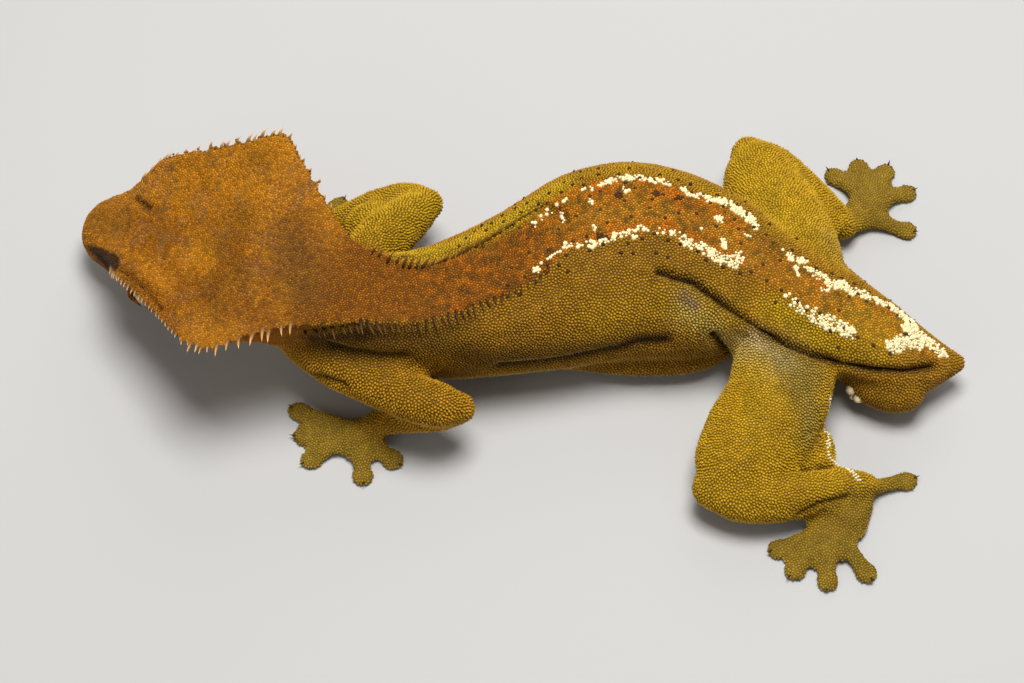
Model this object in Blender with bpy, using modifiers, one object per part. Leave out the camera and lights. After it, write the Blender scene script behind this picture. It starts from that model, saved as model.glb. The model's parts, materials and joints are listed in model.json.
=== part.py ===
"""Crested gecko at life size, tailless as many adults are, lying flat on a floor with its head turned.

The body is lofted as whole limbs, trunk and head, fused into one surface, flattened where it
rests, and then parted into nodes by thin cuts. Tables are in millimetres; MM turns them into
metres. +X runs towards the tail, -Y is the animal's left side and +Z is up.
"""

import math

import bmesh
import bpy
import numpy as np
from mathutils import Matrix, Vector

MM = 0.001

# Driving sizes, in millimetres
GAP = 0.3
SEED = 11
SHARP_ANGLE = 40.0
FUSE_VOXEL = 0.42
SMOOTH_PASSES = 6
TRUNK_TRIANGLES = 3900
LIMB_TRIANGLES = 440
PAW_TRIANGLES = 460
SPINE_SIDES = 5
RING_SIDES = 40
FLOOR_Z = 0.0
PLACE = (-1.1, 3.6)

# The head's own frame: where the middle of the line between the crest corners is, and which
# way its jaw axis, its left side and its top point
HEAD_PLACE = (-31.3, 1.7, 21.3)
HEAD_FORWARD = (-0.890, 0.407, -0.203)
HEAD_LEFT = (-0.336, -0.923, -0.176)
CORNER_BACK = 26.6

# Head sections, from the snout back: distance from the snout's tip, crest half width, crest
# height, mid-line height, cheek half width and height, jaw half width and height, chin height
HEAD_SECTIONS = (
    (-1.6, 1.4, -10.1, -9.8, 1.7, -10.5, 1.3, -11.0, -11.3),
    (-0.7, 2.9, -9.6, -8.9, 3.2, -10.5, 2.6, -11.5, -12.1),
    (1.2, 4.1, -8.6, -7.8, 4.4, -10.5, 3.7, -12.1, -12.9),
    (4.2, 4.9, -6.9, -6.4, 5.2, -10.3, 4.6, -12.7, -13.6),
    (7.2, 6.5, -4.4, -4.9, 6.3, -10.2, 5.6, -13.1, -14.1),
    (10.2, 8.6, -2.7, -3.8, 7.5, -9.9, 6.7, -13.3, -14.6),
    (14.0, 10.5, -2.2, -3.3, 8.8, -9.6, 8.0, -13.4, -15.0),
    (18.5, 12.4, -1.8, -2.8, 9.6, -9.4, 8.8, -13.4, -15.3),
    (22.8, 14.2, -0.8, -2.0, 10.0, -9.2, 9.0, -13.4, -15.4),
)
FLANGE_DROP = 1.5

# Hood sections, from the crest corners back to where the crest lies on the neck: near crest
# point, far crest point, throat point and cheek half width
HOOD_SECTIONS = (
    ((-35.8, -12.2, 18.9), (-26.8, 15.5, 23.8), (-27.4, 3.1, 6.1), 10.0),
    ((-31.0, -10.4, 19.2), (-25.3, 13.4, 23.1), (-24.3, 1.9, 5.2), 9.3),
    ((-26.0, -9.2, 19.3), (-23.3, 9.6, 21.8), (-21.5, 0.3, 4.3), 8.2),
    ((-21.0, -8.7, 19.2), (-20.9, 5.8, 20.6), (-18.6, -1.6, 3.4), 7.4),
    ((-17.3, -8.3, 18.9), (-18.0, 2.3, 19.5), (-15.8, -3.0, 2.6), 6.8),
    ((-13.5, -7.9, 18.4), (-14.2, 0.3, 18.8), (-13.2, -3.6, 1.8), 6.4),
)
HOOD_SAG = 0.6

# Trunk sections, from the neck to the tip of the tail stub: centre, left and right half widths,
# heights above and below the centre, and how far the ridge leans to the right
TRUNK_SECTIONS = (
    (-26.0, 0.2, 11.8, 7.0, 7.0, 7.0, 7.6, 0.0),
    (-20.0, -2.0, 11.4, 7.0, 7.0, 7.4, 8.0, 0.0),
    (-14.0, -3.2, 11.0, 6.8, 8.2, 7.4, 8.4, -0.6),
    (-8.0, -2.8, 10.6, 6.9, 10.2, 7.7, 8.6, -1.2),
    (-1.5, -0.4, 10.0, 8.6, 11.9, 8.3, 8.8, -1.2),
    (6.0, 3.3, 9.5, 11.2, 13.5, 8.9, 9.4, 0.6),
    (13.5, 5.9, 9.2, 12.5, 12.6, 9.2, 9.8, 1.8),
    (20.5, 5.6, 9.0, 12.0, 11.9, 8.9, 9.6, 1.8),
    (26.5, 4.8, 8.8, 10.2, 10.1, 8.2, 9.4, 1.0),
    (32.0, 2.8, 8.4, 8.5, 8.3, 7.5, 8.6, 0.4),
    (38.0, -0.3, 7.8, 7.4, 7.2, 6.7, 7.2, 0.0),
    (43.0, -3.0, 7.0, 6.8, 6.6, 5.8, 5.4, 0.0),
    (47.3, -4.9, 6.0, 6.0, 5.8, 4.7, 4.4, -0.3),
    (50.6, -5.6, 5.3, 4.1, 3.8, 3.2, 3.6, 0.0),
    (53.4, -5.8, 4.9, 2.1, 2.0, 1.8, 2.2, 0.0),
    (55.6, -5.8, 4.8, 0.7, 0.7, 0.7, 0.8, 0.0),
)
TRUNK_SQUARENESS = 2.25

# Limb stations: centre, half width across, half height
THIGH_LEFT = (
    (35.0, 1.0, 7.4, 5.5, 5.0),
    (33.4, -6.0, 7.0, 6.3, 4.8),
    (32.0, -12.0, 6.5, 6.4, 4.6),
    (29.0, -17.0, 5.9, 6.4, 4.2),
    (25.8, -21.3, 5.0, 4.9, 3.7),
    (24.2, -23.4, 4.6, 2.5, 2.4),
)
SHANK_LEFT = (
    (23.8, -23.0, 4.6, 2.5, 2.5),
    (27.4, -23.8, 4.3, 3.3, 3.1),
    (32.2, -23.5, 4.0, 3.4, 3.1),
    (36.8, -22.5, 3.5, 2.9, 2.7),
    (40.4, -21.6, 2.9, 2.2, 2.1),
    (42.6, -21.3, 2.4, 1.7, 1.7),
)
THIGH_RIGHT = (
    (36.0, 0.0, 8.4, 5.5, 6.2),
    (34.6, 6.0, 8.4, 6.4, 5.6),
    (33.2, 11.8, 8.0, 6.4, 4.9),
    (31.8, 17.2, 7.4, 5.6, 4.3),
    (30.7, 21.8, 6.9, 4.0, 3.7),
    (30.0, 23.9, 6.6, 2.1, 2.4),
)
SHANK_RIGHT = (
    (30.0, 23.4, 6.6, 2.4, 2.5),
    (33.0, 21.8, 6.1, 3.1, 3.0),
    (36.2, 19.2, 5.2, 3.0, 2.9),
    (39.6, 16.6, 4.1, 2.5, 2.5),
    (42.0, 15.2, 2.9, 2.0, 2.0),
    (42.6, 15.6, 2.3, 1.4, 1.4),
)
UPPER_ARM_LEFT = (
    (-25.0, -4.5, 9.6, 3.6, 4.2),
    (-21.2, -8.4, 9.6, 3.1, 3.5),
    (-16.8, -11.1, 9.6, 2.8, 3.0),
    (-12.0, -13.2, 9.5, 2.9, 2.9),
    (-8.4, -14.2, 9.2, 2.8, 2.7),
    (-6.0, -14.5, 8.8, 1.6, 1.7),
)
FOREARM_LEFT = (
    (-6.2, -13.9, 8.2, 2.0, 2.1),
    (-8.8, -13.6, 6.8, 2.6, 2.5),
    (-12.0, -13.1, 5.2, 2.4, 2.4),
    (-15.2, -12.9, 3.4, 2.0, 1.9),
    (-17.2, -13.1, 2.4, 1.6, 1.4),
)
UPPER_ARM_RIGHT = (
    (-21.5, -1.0, 10.0, 3.6, 4.4),
    (-19.0, 4.2, 9.8, 3.3, 3.6),
    (-15.8, 9.3, 9.4, 3.4, 3.3),
    (-12.2, 13.2, 8.9, 2.8, 2.8),
    (-10.4, 15.2, 8.5, 1.7, 1.8),
)
FOREARM_RIGHT = (
    (-10.4, 15.2, 8.0, 2.0, 2.1),
    (-13.0, 16.2, 6.7, 2.8, 2.6),
    (-16.4, 16.8, 5.0, 2.5, 2.4),
    (-19.8, 16.8, 3.3, 2.0, 1.9),
    (-22.8, 16.3, 2.3, 1.7, 1.4),
)

ARMS = {
    "left": (UPPER_ARM_LEFT, FOREARM_LEFT),
    "right": (UPPER_ARM_RIGHT, FOREARM_RIGHT),
}
LEGS = {
    "left": (THIGH_LEFT, SHANK_LEFT),
    "right": (THIGH_RIGHT, SHANK_RIGHT),
}

# Paws: the palm's centre, half sizes and turn, then where each toe starts and where its tip lies
PAWS = {
    "hand_left": (((-18.9, -13.7, 1.35), (3.0, 2.4, 1.45), 8.0), (
        ((-20.0, -13.0), (-27.2, -9.7)), ((-20.4, -13.4), (-26.6, -13.6)),
        ((-20.0, -14.2), (-25.4, -17.4)), ((-18.6, -14.4), (-18.0, -20.2)),
        ((-17.8, -14.2), (-13.6, -17.6)),
    )),
    "hand_right": (((-25.0, 15.8, 1.35), (3.0, 2.4, 1.45), 8.0), (
        ((-25.6, 15.2), (-30.8, 11.4)), ((-26.0, 15.6), (-32.4, 15.6)),
        ((-25.8, 16.2), (-30.8, 20.0)), ((-25.0, 16.4), (-26.4, 22.2)),
        ((-24.4, 16.2), (-21.6, 20.8)),
    )),
    "foot_left": (((40.0, -24.6, 1.5), (4.5, 2.4, 1.6), 44.0), (
        ((38.2, -26.4), (30.8, -29.4)), ((37.8, -26.8), (33.0, -32.6)),
        ((38.0, -27.2), (37.4, -34.3)), ((38.8, -27.0), (42.8, -33.0)),
        ((41.6, -21.6), (48.9, -19.4)),
    )),
    "foot_right": (((44.6, 18.4, 1.5), (3.8, 2.4, 1.6), 58.0), (
        ((45.4, 20.0), (40.8, 25.2)), ((45.8, 20.4), (44.6, 26.8)),
        ((46.2, 20.4), (48.6, 26.0)), ((46.2, 19.8), (51.8, 22.2)),
        ((44.6, 17.4), (51.4, 15.8)),
    )),
}
WEB_THICK = 0.45
WEB_WIDEST = 75.0
WEB_REACH = 0.3
TOE_SHAFT = (1.2, 0.95)
TOE_PAD = (1.5, 0.72)
TOE_RISE = 0.55

# Rounded masses: centre, half sizes, turn about Z in degrees
BULGES = {
    "bulge_left": ((45.3, -8.7, 4.3), (5.3, 3.1, 3.5), -24.0),
    "bulge_right": ((46.4, -1.4, 4.0), (4.8, 2.8, 3.2), -28.0),
    "arm_right_web": ((-17.4, 12.6, 7.0), (3.8, 3.4, 2.4), 0.0),
    "leg_left_web": ((35.2, -17.6, 4.2), (4.0, 4.6, 1.5), 0.0),
    "leg_right_web": ((37.6, 14.4, 5.2), (4.0, 4.4, 1.7), 0.0),
    "shoulder_left": ((-19.5, -5.0, 10.5), (5.0, 4.0, 4.6), 30.0),
    "shoulder_right": ((-17.0, 1.8, 10.6), (5.0, 4.0, 4.6), -40.0),
}

# The skin fold along each flank: points down the fold and its half sizes there
SKIRT_LEFT = (
    (6.0, -5.4, 3.4, 0.5, 0.8),
    (11.0, -5.2, 3.2, 1.2, 1.3),
    (17.0, -5.2, 3.1, 1.5, 1.5),
    (22.5, -4.6, 3.2, 1.6, 1.6),
    (26.0, -3.4, 3.6, 1.2, 1.4),
    (27.2, -2.2, 4.0, 0.7, 1.0),
)
SKIRT_RIGHT = (
    (4.0, 12.2, 3.4, 0.5, 0.8),
    (10.0, 14.7, 3.2, 1.2, 1.3),
    (16.0, 15.6, 3.1, 1.4, 1.5),
    (21.5, 15.1, 3.2, 1.4, 1.5),
    (25.6, 13.0, 3.6, 0.8, 1.0),
)

# The fold that runs from each flank down over the hip to the side of the tail
HIP_FOLD_LEFT = (
    (13.0, 0.8, 17.6, 0.4, 0.4),
    (19.0, -1.2, 15.6, 1.0, 0.9),
    (25.0, -2.9, 13.1, 1.5, 1.3),
    (31.5, -4.6, 11.0, 1.8, 1.5),
    (38.5, -6.8, 9.4, 1.8, 1.5),
    (44.5, -9.0, 7.8, 1.4, 1.2),
    (48.5, -9.6, 6.8, 0.7, 0.7),
)
HIP_FOLD_RIGHT = (
    (19.0, 13.0, 15.8, 0.5, 0.5),
    (25.0, 12.4, 13.3, 1.2, 1.1),
    (31.5, 10.0, 11.2, 1.6, 1.4),
    (38.0, 6.0, 9.6, 1.6, 1.4),
    (43.5, 2.4, 8.0, 1.1, 1.0),
)

# The low ridges that carry the crest on down the back: points and half thickness
CREST_BACK_LEFT = (
    (-17.0, -8.0, 18.2, 0.7),
    (-8.0, -6.7, 17.2, 0.6),
    (-1.5, -4.6, 17.0, 0.5),
    (4.0, -0.9, 16.9, 0.3),
)
CREST_BACK_RIGHT = (
    (-17.0, 1.8, 18.6, 0.7),
    (-8.0, -0.4, 17.8, 0.6),
    (-1.5, 2.2, 17.2, 0.5),
    (4.0, 6.6, 16.8, 0.3),
)

# The face: the eyes, their raised rims, the nostrils, the ear pits and the line of the mouth,
# placed from the snout's tip backwards, out to the side and up
EYE_PLACE = (13.0, 6.2, -8.0)
EYE_RADIUS = 3.0
EYE_RIM = (3.0, 0.42)
ORBIT = (5.4, 3.6)
NOSTRIL = ((1.5, -9.5), (0.4, 0.4, 0.3))
EAR_PIT = ((24.6, -9.6), (1.0, 0.8, 1.3))
MOUTH_SPAN = (0.6, 18.5)
MOUTH_DEPTH = 0.26
LIP_RADIUS = 0.4

# Spines: how far apart, how thick at the root, and their lengths along the crest, from the brow
# to the back, each with the share of the way that it is reached at
SPINE_PITCH = 1.75
SPINE_ROOT = 0.34
SPINE_LENGTHS = ((0.0, 0.7), (0.07, 1.2), (0.15, 1.2), (0.2, 0.8), (0.38, 0.8), (0.5, 1.15), (0.7, 1.1), (1.0, 0.45))
SPINE_LEAN_BACK = 0.45
BROW_START = 7.6
SPUR = ((41.0, -8.6, 3.2), (0.25, -0.9, 0.1), 1.3)

# Where the thin cuts part the fused body: centre, normal, radius
TRUNK_CUTS = (
    ((-21.5, -1.3, 12.2), (1.0, -0.42, 0.0), 12.5),
    ((-9.0, -2.4, 9.5), (1.0, 0.1, 0.0), 11.0),
    ((6.5, 3.5, 9.0), (1.0, 0.35, 0.0), 15.0),
    ((28.0, 4.3, 8.5), (1.0, -0.3, 0.0), 14.0),
    ((46.4, -4.2, 5.8), (1.0, -0.35, 0.0), 10.0),
)
LIMB_CUTS = {
    "arm_left": ((-13.0, -13.6, 6.7), (-0.25, 0.0, 1.0), 11.5),
    "arm_right": ((-13.5, 13.8, 7.4), (0.33, -0.9, 0.53), 9.5),
    "leg_left": ((30.6, -19.1, 4.8), (-0.54, 0.79, 0.3), 14.5),
    "leg_right": ((36.0, 18.4, 6.0), (0.45, 0.9, 0.0), 12.0),
}
PAW_OF = {
    "arm_left": "hand_left", "arm_right": "hand_right",
    "leg_left": "foot_left", "leg_right": "foot_right",
}
NODE_MARKS = {
    "trunk": {
        "head": (-38.0, 4.0, 12.0), "neck": (-15.5, -3.0, 10.0), "chest": (-1.0, 0.0, 9.0),
        "abdomen": (17.0, 5.5, 9.0), "pelvis": (37.0, 0.0, 7.5), "tail_stub": (52.0, -5.4, 5.0),
    },
    "arm_left": {"upper_arm_left": (-13.0, -13.0, 9.6), "forearm_left": (-12.0, -13.2, 4.8)},
    "arm_right": {"upper_arm_right": (-14.5, 11.0, 9.2), "forearm_right": (-15.5, 16.8, 5.0)},
    "leg_left": {"thigh_left": (32.0, -13.5, 7.0), "shank_left": (33.0, -23.5, 4.0)},
    "leg_right": {"thigh_right": (33.0, 13.0, 7.2), "shank_right": (38.0, 18.5, 4.6)},
}


def smooth_rows(rows, steps, closed=False):
    """Rows on a smooth curve through the rows given, with `steps` of them for each stretch."""
    rows = np.array(rows, dtype=float)
    if closed:
        padded = np.vstack([rows[-1:], rows, rows[:2]])
    else:
        padded = np.vstack([2 * rows[:1] - rows[1:2], rows, 2 * rows[-1:] - rows[-2:-1]])
    result = []
    for before, start, end, after in zip(padded, padded[1:], padded[2:], padded[3:]):
        for step in range(steps):
            t = step / steps
            bend = (2 * before - 5 * start + 4 * end - after) * t ** 2
            turn = (3 * start - before - 3 * end + after) * t ** 3
            result.append(0.5 * (2 * start + (end - before) * t + bend + turn))
    if not closed:
        result.append(rows[-1])
    return np.array(result)


def loft(name, rings):
    """A closed mesh through rings with the same number of points, fanned shut at both ends."""
    shell = bmesh.new()
    loops = [[shell.verts.new(Vector(point) * MM) for point in ring] for ring in rings]
    for ahead, behind in zip(loops, loops[1:]):
        for index in range(len(ahead)):
            following = (index + 1) % len(ahead)
            shell.faces.new((ahead[index], ahead[following], behind[following], behind[index]))
    for loop in (loops[0], loops[-1]):
        middle = shell.verts.new(sum((vert.co for vert in loop), Vector()) / len(loop))
        for index in range(len(loop)):
            shell.faces.new((loop[index], loop[(index + 1) % len(loop)], middle))
    bmesh.ops.recalc_face_normals(shell, faces=shell.faces)
    mesh = bpy.data.meshes.new(name)
    shell.to_mesh(mesh)
    shell.free()
    return bpy.data.objects.new(name, mesh)


def unit(vector):
    return np.array(vector, dtype=float) / np.linalg.norm(vector)


def head_point(back, side, height):
    """A point of the head: `back` from the snout's tip, `side` to its left, `height` up."""
    forward = unit(HEAD_FORWARD)
    left = unit(HEAD_LEFT)
    up = np.cross(forward, left)
    return np.array(HEAD_PLACE) + (CORNER_BACK - back) * forward + side * left + height * up


def head_ring(section):
    """Half of one front section of the head from crown to chin, then the other half back up."""
    back, crest, crest_high, crown_high, cheek, cheek_high, jaw, jaw_high, chin_high = section
    overhang = max(0.0, crest - cheek)
    half = [
        (0.0, crown_high),
        (0.5 * crest, crown_high + 0.3 * (crest_high - crown_high)),
        (0.86 * crest, crest_high - 0.1),
        (crest, crest_high - 0.3),
        (crest - 0.5 - 0.5 * overhang, crest_high - FLANGE_DROP),
        (cheek, 0.5 * (crest_high - FLANGE_DROP) + 0.5 * cheek_high),
        (cheek, cheek_high),
        (jaw, jaw_high),
        (0.55 * jaw, chin_high + 0.25 * (jaw_high - chin_high)),
        (0.0, chin_high),
    ]
    around = half + [(-side, height) for side, height in half[-2:0:-1]]
    return [head_point(back, side, height) for side, height in around]


def hood_ring(near, far, throat, cheek):
    """One section of the crest's hood where it narrows back on to the neck."""
    near, far, throat = (np.array(point) for point in (near, far, throat))
    middle = 0.5 * (near + far)
    across = unit(near - far)
    level = unit(across * (1.0, 1.0, 0.0))
    reach = 0.5 * np.linalg.norm(near - far)
    down = unit(throat - middle)

    def side(sign):
        tip = near if sign > 0 else far
        inward = -sign * across
        overhang = max(0.0, reach - cheek)
        return [
            middle + sign * across * 0.5 * reach + down * 0.7 * HOOD_SAG,
            tip + inward * 0.14 * reach + down * 0.1,
            tip + down * 0.3,
            tip + inward * (0.5 + 0.5 * overhang) + down * FLANGE_DROP,
            middle + 0.38 * (throat - middle) + sign * level * cheek,
            middle + 0.6 * (throat - middle) + sign * level * cheek,
            middle + 0.85 * (throat - middle) + sign * level * 0.8 * cheek,
            middle + 0.97 * (throat - middle) + sign * level * 0.42 * cheek,
        ]

    return [middle + down * HOOD_SAG] + side(1) + [throat] + side(-1)[::-1]


def head_and_hood():
    rings = [head_ring(section) for section in HEAD_SECTIONS]
    rings += [hood_ring(*section) for section in HOOD_SECTIONS]
    rings = [smooth_rows(ring, 3, closed=True) for ring in rings]
    flat = smooth_rows([ring.ravel() for ring in rings], 4)
    return loft("head_and_hood", [row.reshape(-1, 3) for row in flat])


def trunk_ring(section):
    """A squarish oval, wider or higher on one side than the other, with a ridge that can lean."""
    along, across, height, left, right, above, below, lean = section
    ring = []
    for turn in np.linspace(0, 2 * math.pi, RING_SIDES, endpoint=False):
        cosine, sine = math.cos(turn), math.sin(turn)
        side = math.copysign(abs(cosine) ** (2 / TRUNK_SQUARENESS), cosine)
        rise = math.copysign(abs(sine) ** (2 / TRUNK_SQUARENESS), sine)
        shift = lean * max(0.0, rise) ** 2
        y = across + side * (right if side > 0 else left) + shift
        ring.append((along, y, height + rise * (above if rise > 0 else below)))
    return ring


def trunk():
    return loft("trunk", [trunk_ring(row) for row in smooth_rows(TRUNK_SECTIONS, 4)])


def tube(name, stations, sides=20, steps=4):
    """A limb or fold: ovals square to its run, each with its half width and half height."""
    rows = smooth_rows(stations, steps)
    runs = np.gradient(rows[:, :3], axis=0)
    runs /= np.linalg.norm(runs, axis=1, keepdims=True)
    turns = np.linspace(0, 2 * math.pi, sides, endpoint=False)

    def oval(row, run, shrink=1.0, push=0.0):
        across = unit(np.cross(run, (0.0, 0.0, 1.0)))
        up = np.cross(across, run)
        middle = row[:3] + push * min(row[3], row[4]) * run
        wide, high = row[3] * shrink, row[4] * shrink
        return [middle + wide * math.cos(t) * across + high * math.sin(t) * up for t in turns]

    caps = [(math.cos(t), math.sin(t)) for t in np.linspace(0, 1.45, 6)[1:]]
    rings = [oval(rows[0], runs[0], shrink, -push) for shrink, push in reversed(caps)]
    rings += [oval(row, run) for row, run in zip(rows, runs)]
    rings += [oval(rows[-1], runs[-1], shrink, push) for shrink, push in caps]
    return loft(name, rings)


def egg(name, centre, half_sizes, turn=0.0, segments=28, rings=18):
    """An ellipsoid, turned about the upright by `turn` degrees."""
    bpy.ops.mesh.primitive_uv_sphere_add(segments=segments, ring_count=rings, radius=MM)
    ball = bpy.context.object
    ball.name = name
    placed = Matrix.Translation(Vector(centre) * MM) @ Matrix.Rotation(math.radians(turn), 4, "Z")
    ball.data.transform(placed @ Matrix.Diagonal((*half_sizes, 1.0)))
    bpy.context.collection.objects.unlink(ball)
    return ball


def toe(name, root, tip):
    """A slender toe that arches off the palm, with a broad flat pad under its end."""
    root = np.array((*root, 1.1))
    tip = np.array((*tip, 0.45))
    run = tip - root
    ahead = unit((run[0], run[1], 0.0))
    wide, high = TOE_SHAFT
    pad_wide, pad_high = TOE_PAD
    rise = np.array((0.0, 0.0, TOE_RISE))
    stations = (
        (*root, wide * 1.25, high * 1.2),
        (*(root + 0.33 * run + 0.6 * rise), wide, high),
        (*(tip - 3.2 * ahead + 0.8 * rise), wide, high * 0.95),
        (*(tip - 1.9 * ahead), pad_wide, pad_high),
        (*(tip - 0.9 * ahead), pad_wide, pad_high * 0.95),
        (*(tip - 0.3 * ahead), pad_wide * 0.6, pad_high * 0.8),
    )
    return tube(name, stations, sides=14, steps=3)


def toe_web(first, second):
    """A thin sheet of skin in the angle between two neighbouring toes, or None where it is wide."""
    (root_a, tip_a), (root_b, tip_b) = np.array(first), np.array(second)
    run_a, run_b = tip_a - root_a, tip_b - root_b
    spread = math.degrees(math.acos(float(np.dot(unit(run_a), unit(run_b)))))
    if spread > WEB_WIDEST:
        return None
    inner_a, inner_b = root_a + WEB_REACH * run_a, root_b + WEB_REACH * run_b
    middle = 0.5 * (inner_a + inner_b)
    half_gap = 0.5 * np.linalg.norm(inner_a - inner_b) + 0.3
    ahead = unit(run_a) + unit(run_b)
    turn = math.degrees(math.atan2(ahead[1], ahead[0]))
    long = 0.75 * WEB_REACH * np.linalg.norm(run_a)
    return egg("toe_web", (*middle, 0.7), (long, half_gap, WEB_THICK), turn)


def paw(name):
    """The palm, its five toes and the webs between them."""
    palm, toes = PAWS[name]
    pieces = [egg("palm", *palm)]
    pieces += [toe("toe", root, tip) for root, tip in toes]
    webs = [toe_web(first, second) for first, second in zip(toes, toes[1:])]
    return pieces + [web for web in webs if web]


def new_mesh_from(obj):
    """The object's mesh with its modifiers applied, as a mesh of its own."""
    bpy.context.view_layer.update()
    evaluated = obj.evaluated_get(bpy.context.evaluated_depsgraph_get())
    return bpy.data.meshes.new_from_object(evaluated)


def apply_modifiers(obj):
    finished = new_mesh_from(obj)
    obj.modifiers.clear()
    obj.data = finished
    return obj


def fuse(name, pieces, collection, triangles):
    """Join overlapping closed shells into one even surface, smooth it and thin it out."""
    joined = bmesh.new()
    for piece in pieces:
        joined.from_mesh(piece.data)
        bpy.data.objects.remove(piece)
    mesh = bpy.data.meshes.new(name)
    joined.to_mesh(mesh)
    joined.free()
    body = bpy.data.objects.new(name, mesh)
    collection.objects.link(body)
    remesh = body.modifiers.new("Fuse", "REMESH")
    remesh.mode = "VOXEL"
    remesh.voxel_size = FUSE_VOXEL * MM
    smooth = body.modifiers.new("Smooth", "SMOOTH")
    smooth.factor = 0.5
    smooth.iterations = SMOOTH_PASSES
    apply_modifiers(body)
    thin = body.modifiers.new("Thin", "DECIMATE")
    thin.ratio = triangles / (2 * len(body.data.polygons))
    return apply_modifiers(body)


def boolean(body, cutter, operation="DIFFERENCE", solver="EXACT"):
    """Cut the body by, or unite it with, another object or a collection, and apply the result."""
    change = body.modifiers.new(operation.title(), "BOOLEAN")
    change.operation = operation
    change.solver = solver
    if isinstance(cutter, bpy.types.Collection):
        change.operand_type = "COLLECTION"
        change.collection = cutter
    else:
        change.object = cutter
    return apply_modifiers(body)


def blade(centre, normal, radius):
    """A thin round blade of GAP's thickness, square to its normal."""
    bpy.ops.mesh.primitive_cylinder_add(vertices=48, radius=radius * MM, depth=GAP * MM)
    coin = bpy.context.object
    coin.name = "blade"
    facing = Vector(normal).to_track_quat("Z", "Y").to_matrix().to_4x4()
    coin.data.transform(Matrix.Translation(Vector(centre) * MM) @ facing)
    bpy.context.collection.objects.unlink(coin)
    return coin


def as_guide(obj):
    obj.hide_render = True
    obj.display_type = "WIRE"
    return obj


def swollen(name, body, distance, collection):
    """A copy of a body, coarser and grown outwards, which leaves a gap where it cuts."""
    copy = bpy.data.objects.new(name, body.data.copy())
    collection.objects.link(copy)
    grown = copy.modifiers.new("Grow", "DISPLACE")
    grown.strength = distance * MM
    grown.mid_level = 0.0
    apply_modifiers(copy)
    return as_guide(copy)


def loose_parts(body, collection):
    """Each closed piece of the body as an object of its own."""
    whole = bmesh.new()
    whole.from_mesh(body.data)
    whole.verts.ensure_lookup_table()
    unseen = set(whole.verts)
    pieces = []
    while unseen:
        reached = {unseen.pop()}
        edge_of_search = list(reached)
        while edge_of_search:
            vert = edge_of_search.pop()
            for edge in vert.link_edges:
                other = edge.other_vert(vert)
                if other not in reached:
                    reached.add(other)
                    edge_of_search.append(other)
        unseen -= reached
        pieces.append(sorted(vert.index for vert in reached))
    whole.free()
    parts = []
    for indices in pieces:
        part = bmesh.new()
        part.from_mesh(body.data)
        part.verts.ensure_lookup_table()
        kept = set(indices)
        bmesh.ops.delete(part, geom=[v for v in part.verts if v.index not in kept], context="VERTS")
        mesh = bpy.data.meshes.new(body.name)
        part.to_mesh(mesh)
        part.free()
        obj = bpy.data.objects.new(body.name, mesh)
        collection.objects.link(obj)
        parts.append(obj)
    bpy.data.objects.remove(body)
    return parts


def volume(obj):
    solid = bmesh.new()
    solid.from_mesh(obj.data)
    size = solid.calc_volume()
    solid.free()
    return size


def name_parts(parts, marks):
    """Give each piece the name of the mark nearest to its middle; crumbs are dropped."""
    named = {}
    for part in sorted(parts, key=volume, reverse=True):
        middle = sum((vert.co for vert in part.data.vertices), Vector()) / len(part.data.vertices)
        free = [name for name in marks if name not in named]
        if not free or volume(part) < (1.5 * MM) ** 3:
            bpy.data.objects.remove(part)
            continue
        name = min(free, key=lambda name: (middle - Vector(marks[name]) * MM).length)
        part.name = name
        part.data.name = name
        named[name] = part
    return named


def section_at(back):
    """The head's section values at one distance from the snout's tip."""
    table = np.array(HEAD_SECTIONS)
    return [float(np.interp(back, table[:, 0], column)) for column in table.T]


def on_cheek(skin, side, back, high):
    """Where a line across the head meets its skin, and the way that line runs out."""
    outward = Vector(unit(HEAD_LEFT) * side)
    start = Vector(head_point(back, side * 20.0, high)) * MM
    hit, place, _, _ = skin.ray_cast(start, -outward)
    return np.array(place) / MM


def mouth_path(skin, side, lift):
    """Points along one side of the mouth, on the skin, `lift` above the line between the lips."""
    points = []
    for back in np.linspace(*MOUTH_SPAN, 9):
        _, _, _, _, _, cheek_high, _, jaw_high, _ = section_at(back)
        smile = 1.2 * max(0.0, back / MOUTH_SPAN[1] - 0.75)
        high = 0.35 * cheek_high + 0.65 * jaw_high + lift + smile
        points.append(on_cheek(skin, side, back, high))
    return points


def lips(skin):
    """Raised upper and lower lips down both sides of the mouth."""
    pieces = []
    for side in (1, -1):
        for lift in (0.6, -0.6):
            stations = [(*point, LIP_RADIUS, LIP_RADIUS) for point in mouth_path(skin, side, lift)]
            pieces.append(tube("lip", stations, sides=12, steps=1))
    return pieces


def eye_centre(side):
    back, out, high = EYE_PLACE
    return head_point(back, side * out, high)


def orbit(side):
    """The swelling of the face that holds the eye."""
    out, radius = ORBIT
    place = head_point(EYE_PLACE[0], side * out, EYE_PLACE[2])
    return egg("orbit", place, (radius,) * 3)


def eye_rim(skin, side):
    """A raised ring of skin round the eye."""
    radius, thick = EYE_RIM
    bpy.ops.mesh.primitive_torus_add(
        major_radius=radius * MM, minor_radius=thick * MM, major_segments=32, minor_segments=10)
    ring = bpy.context.object
    centre = Vector(on_cheek(skin, side, EYE_PLACE[0], EYE_PLACE[2]))
    outward = Vector(unit(HEAD_LEFT) * side)
    facing = outward.to_track_quat("Z", "Y").to_matrix().to_4x4()
    ring.data.transform(Matrix.Translation(centre * MM) @ facing)
    bpy.context.collection.objects.unlink(ring)
    return ring


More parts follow.
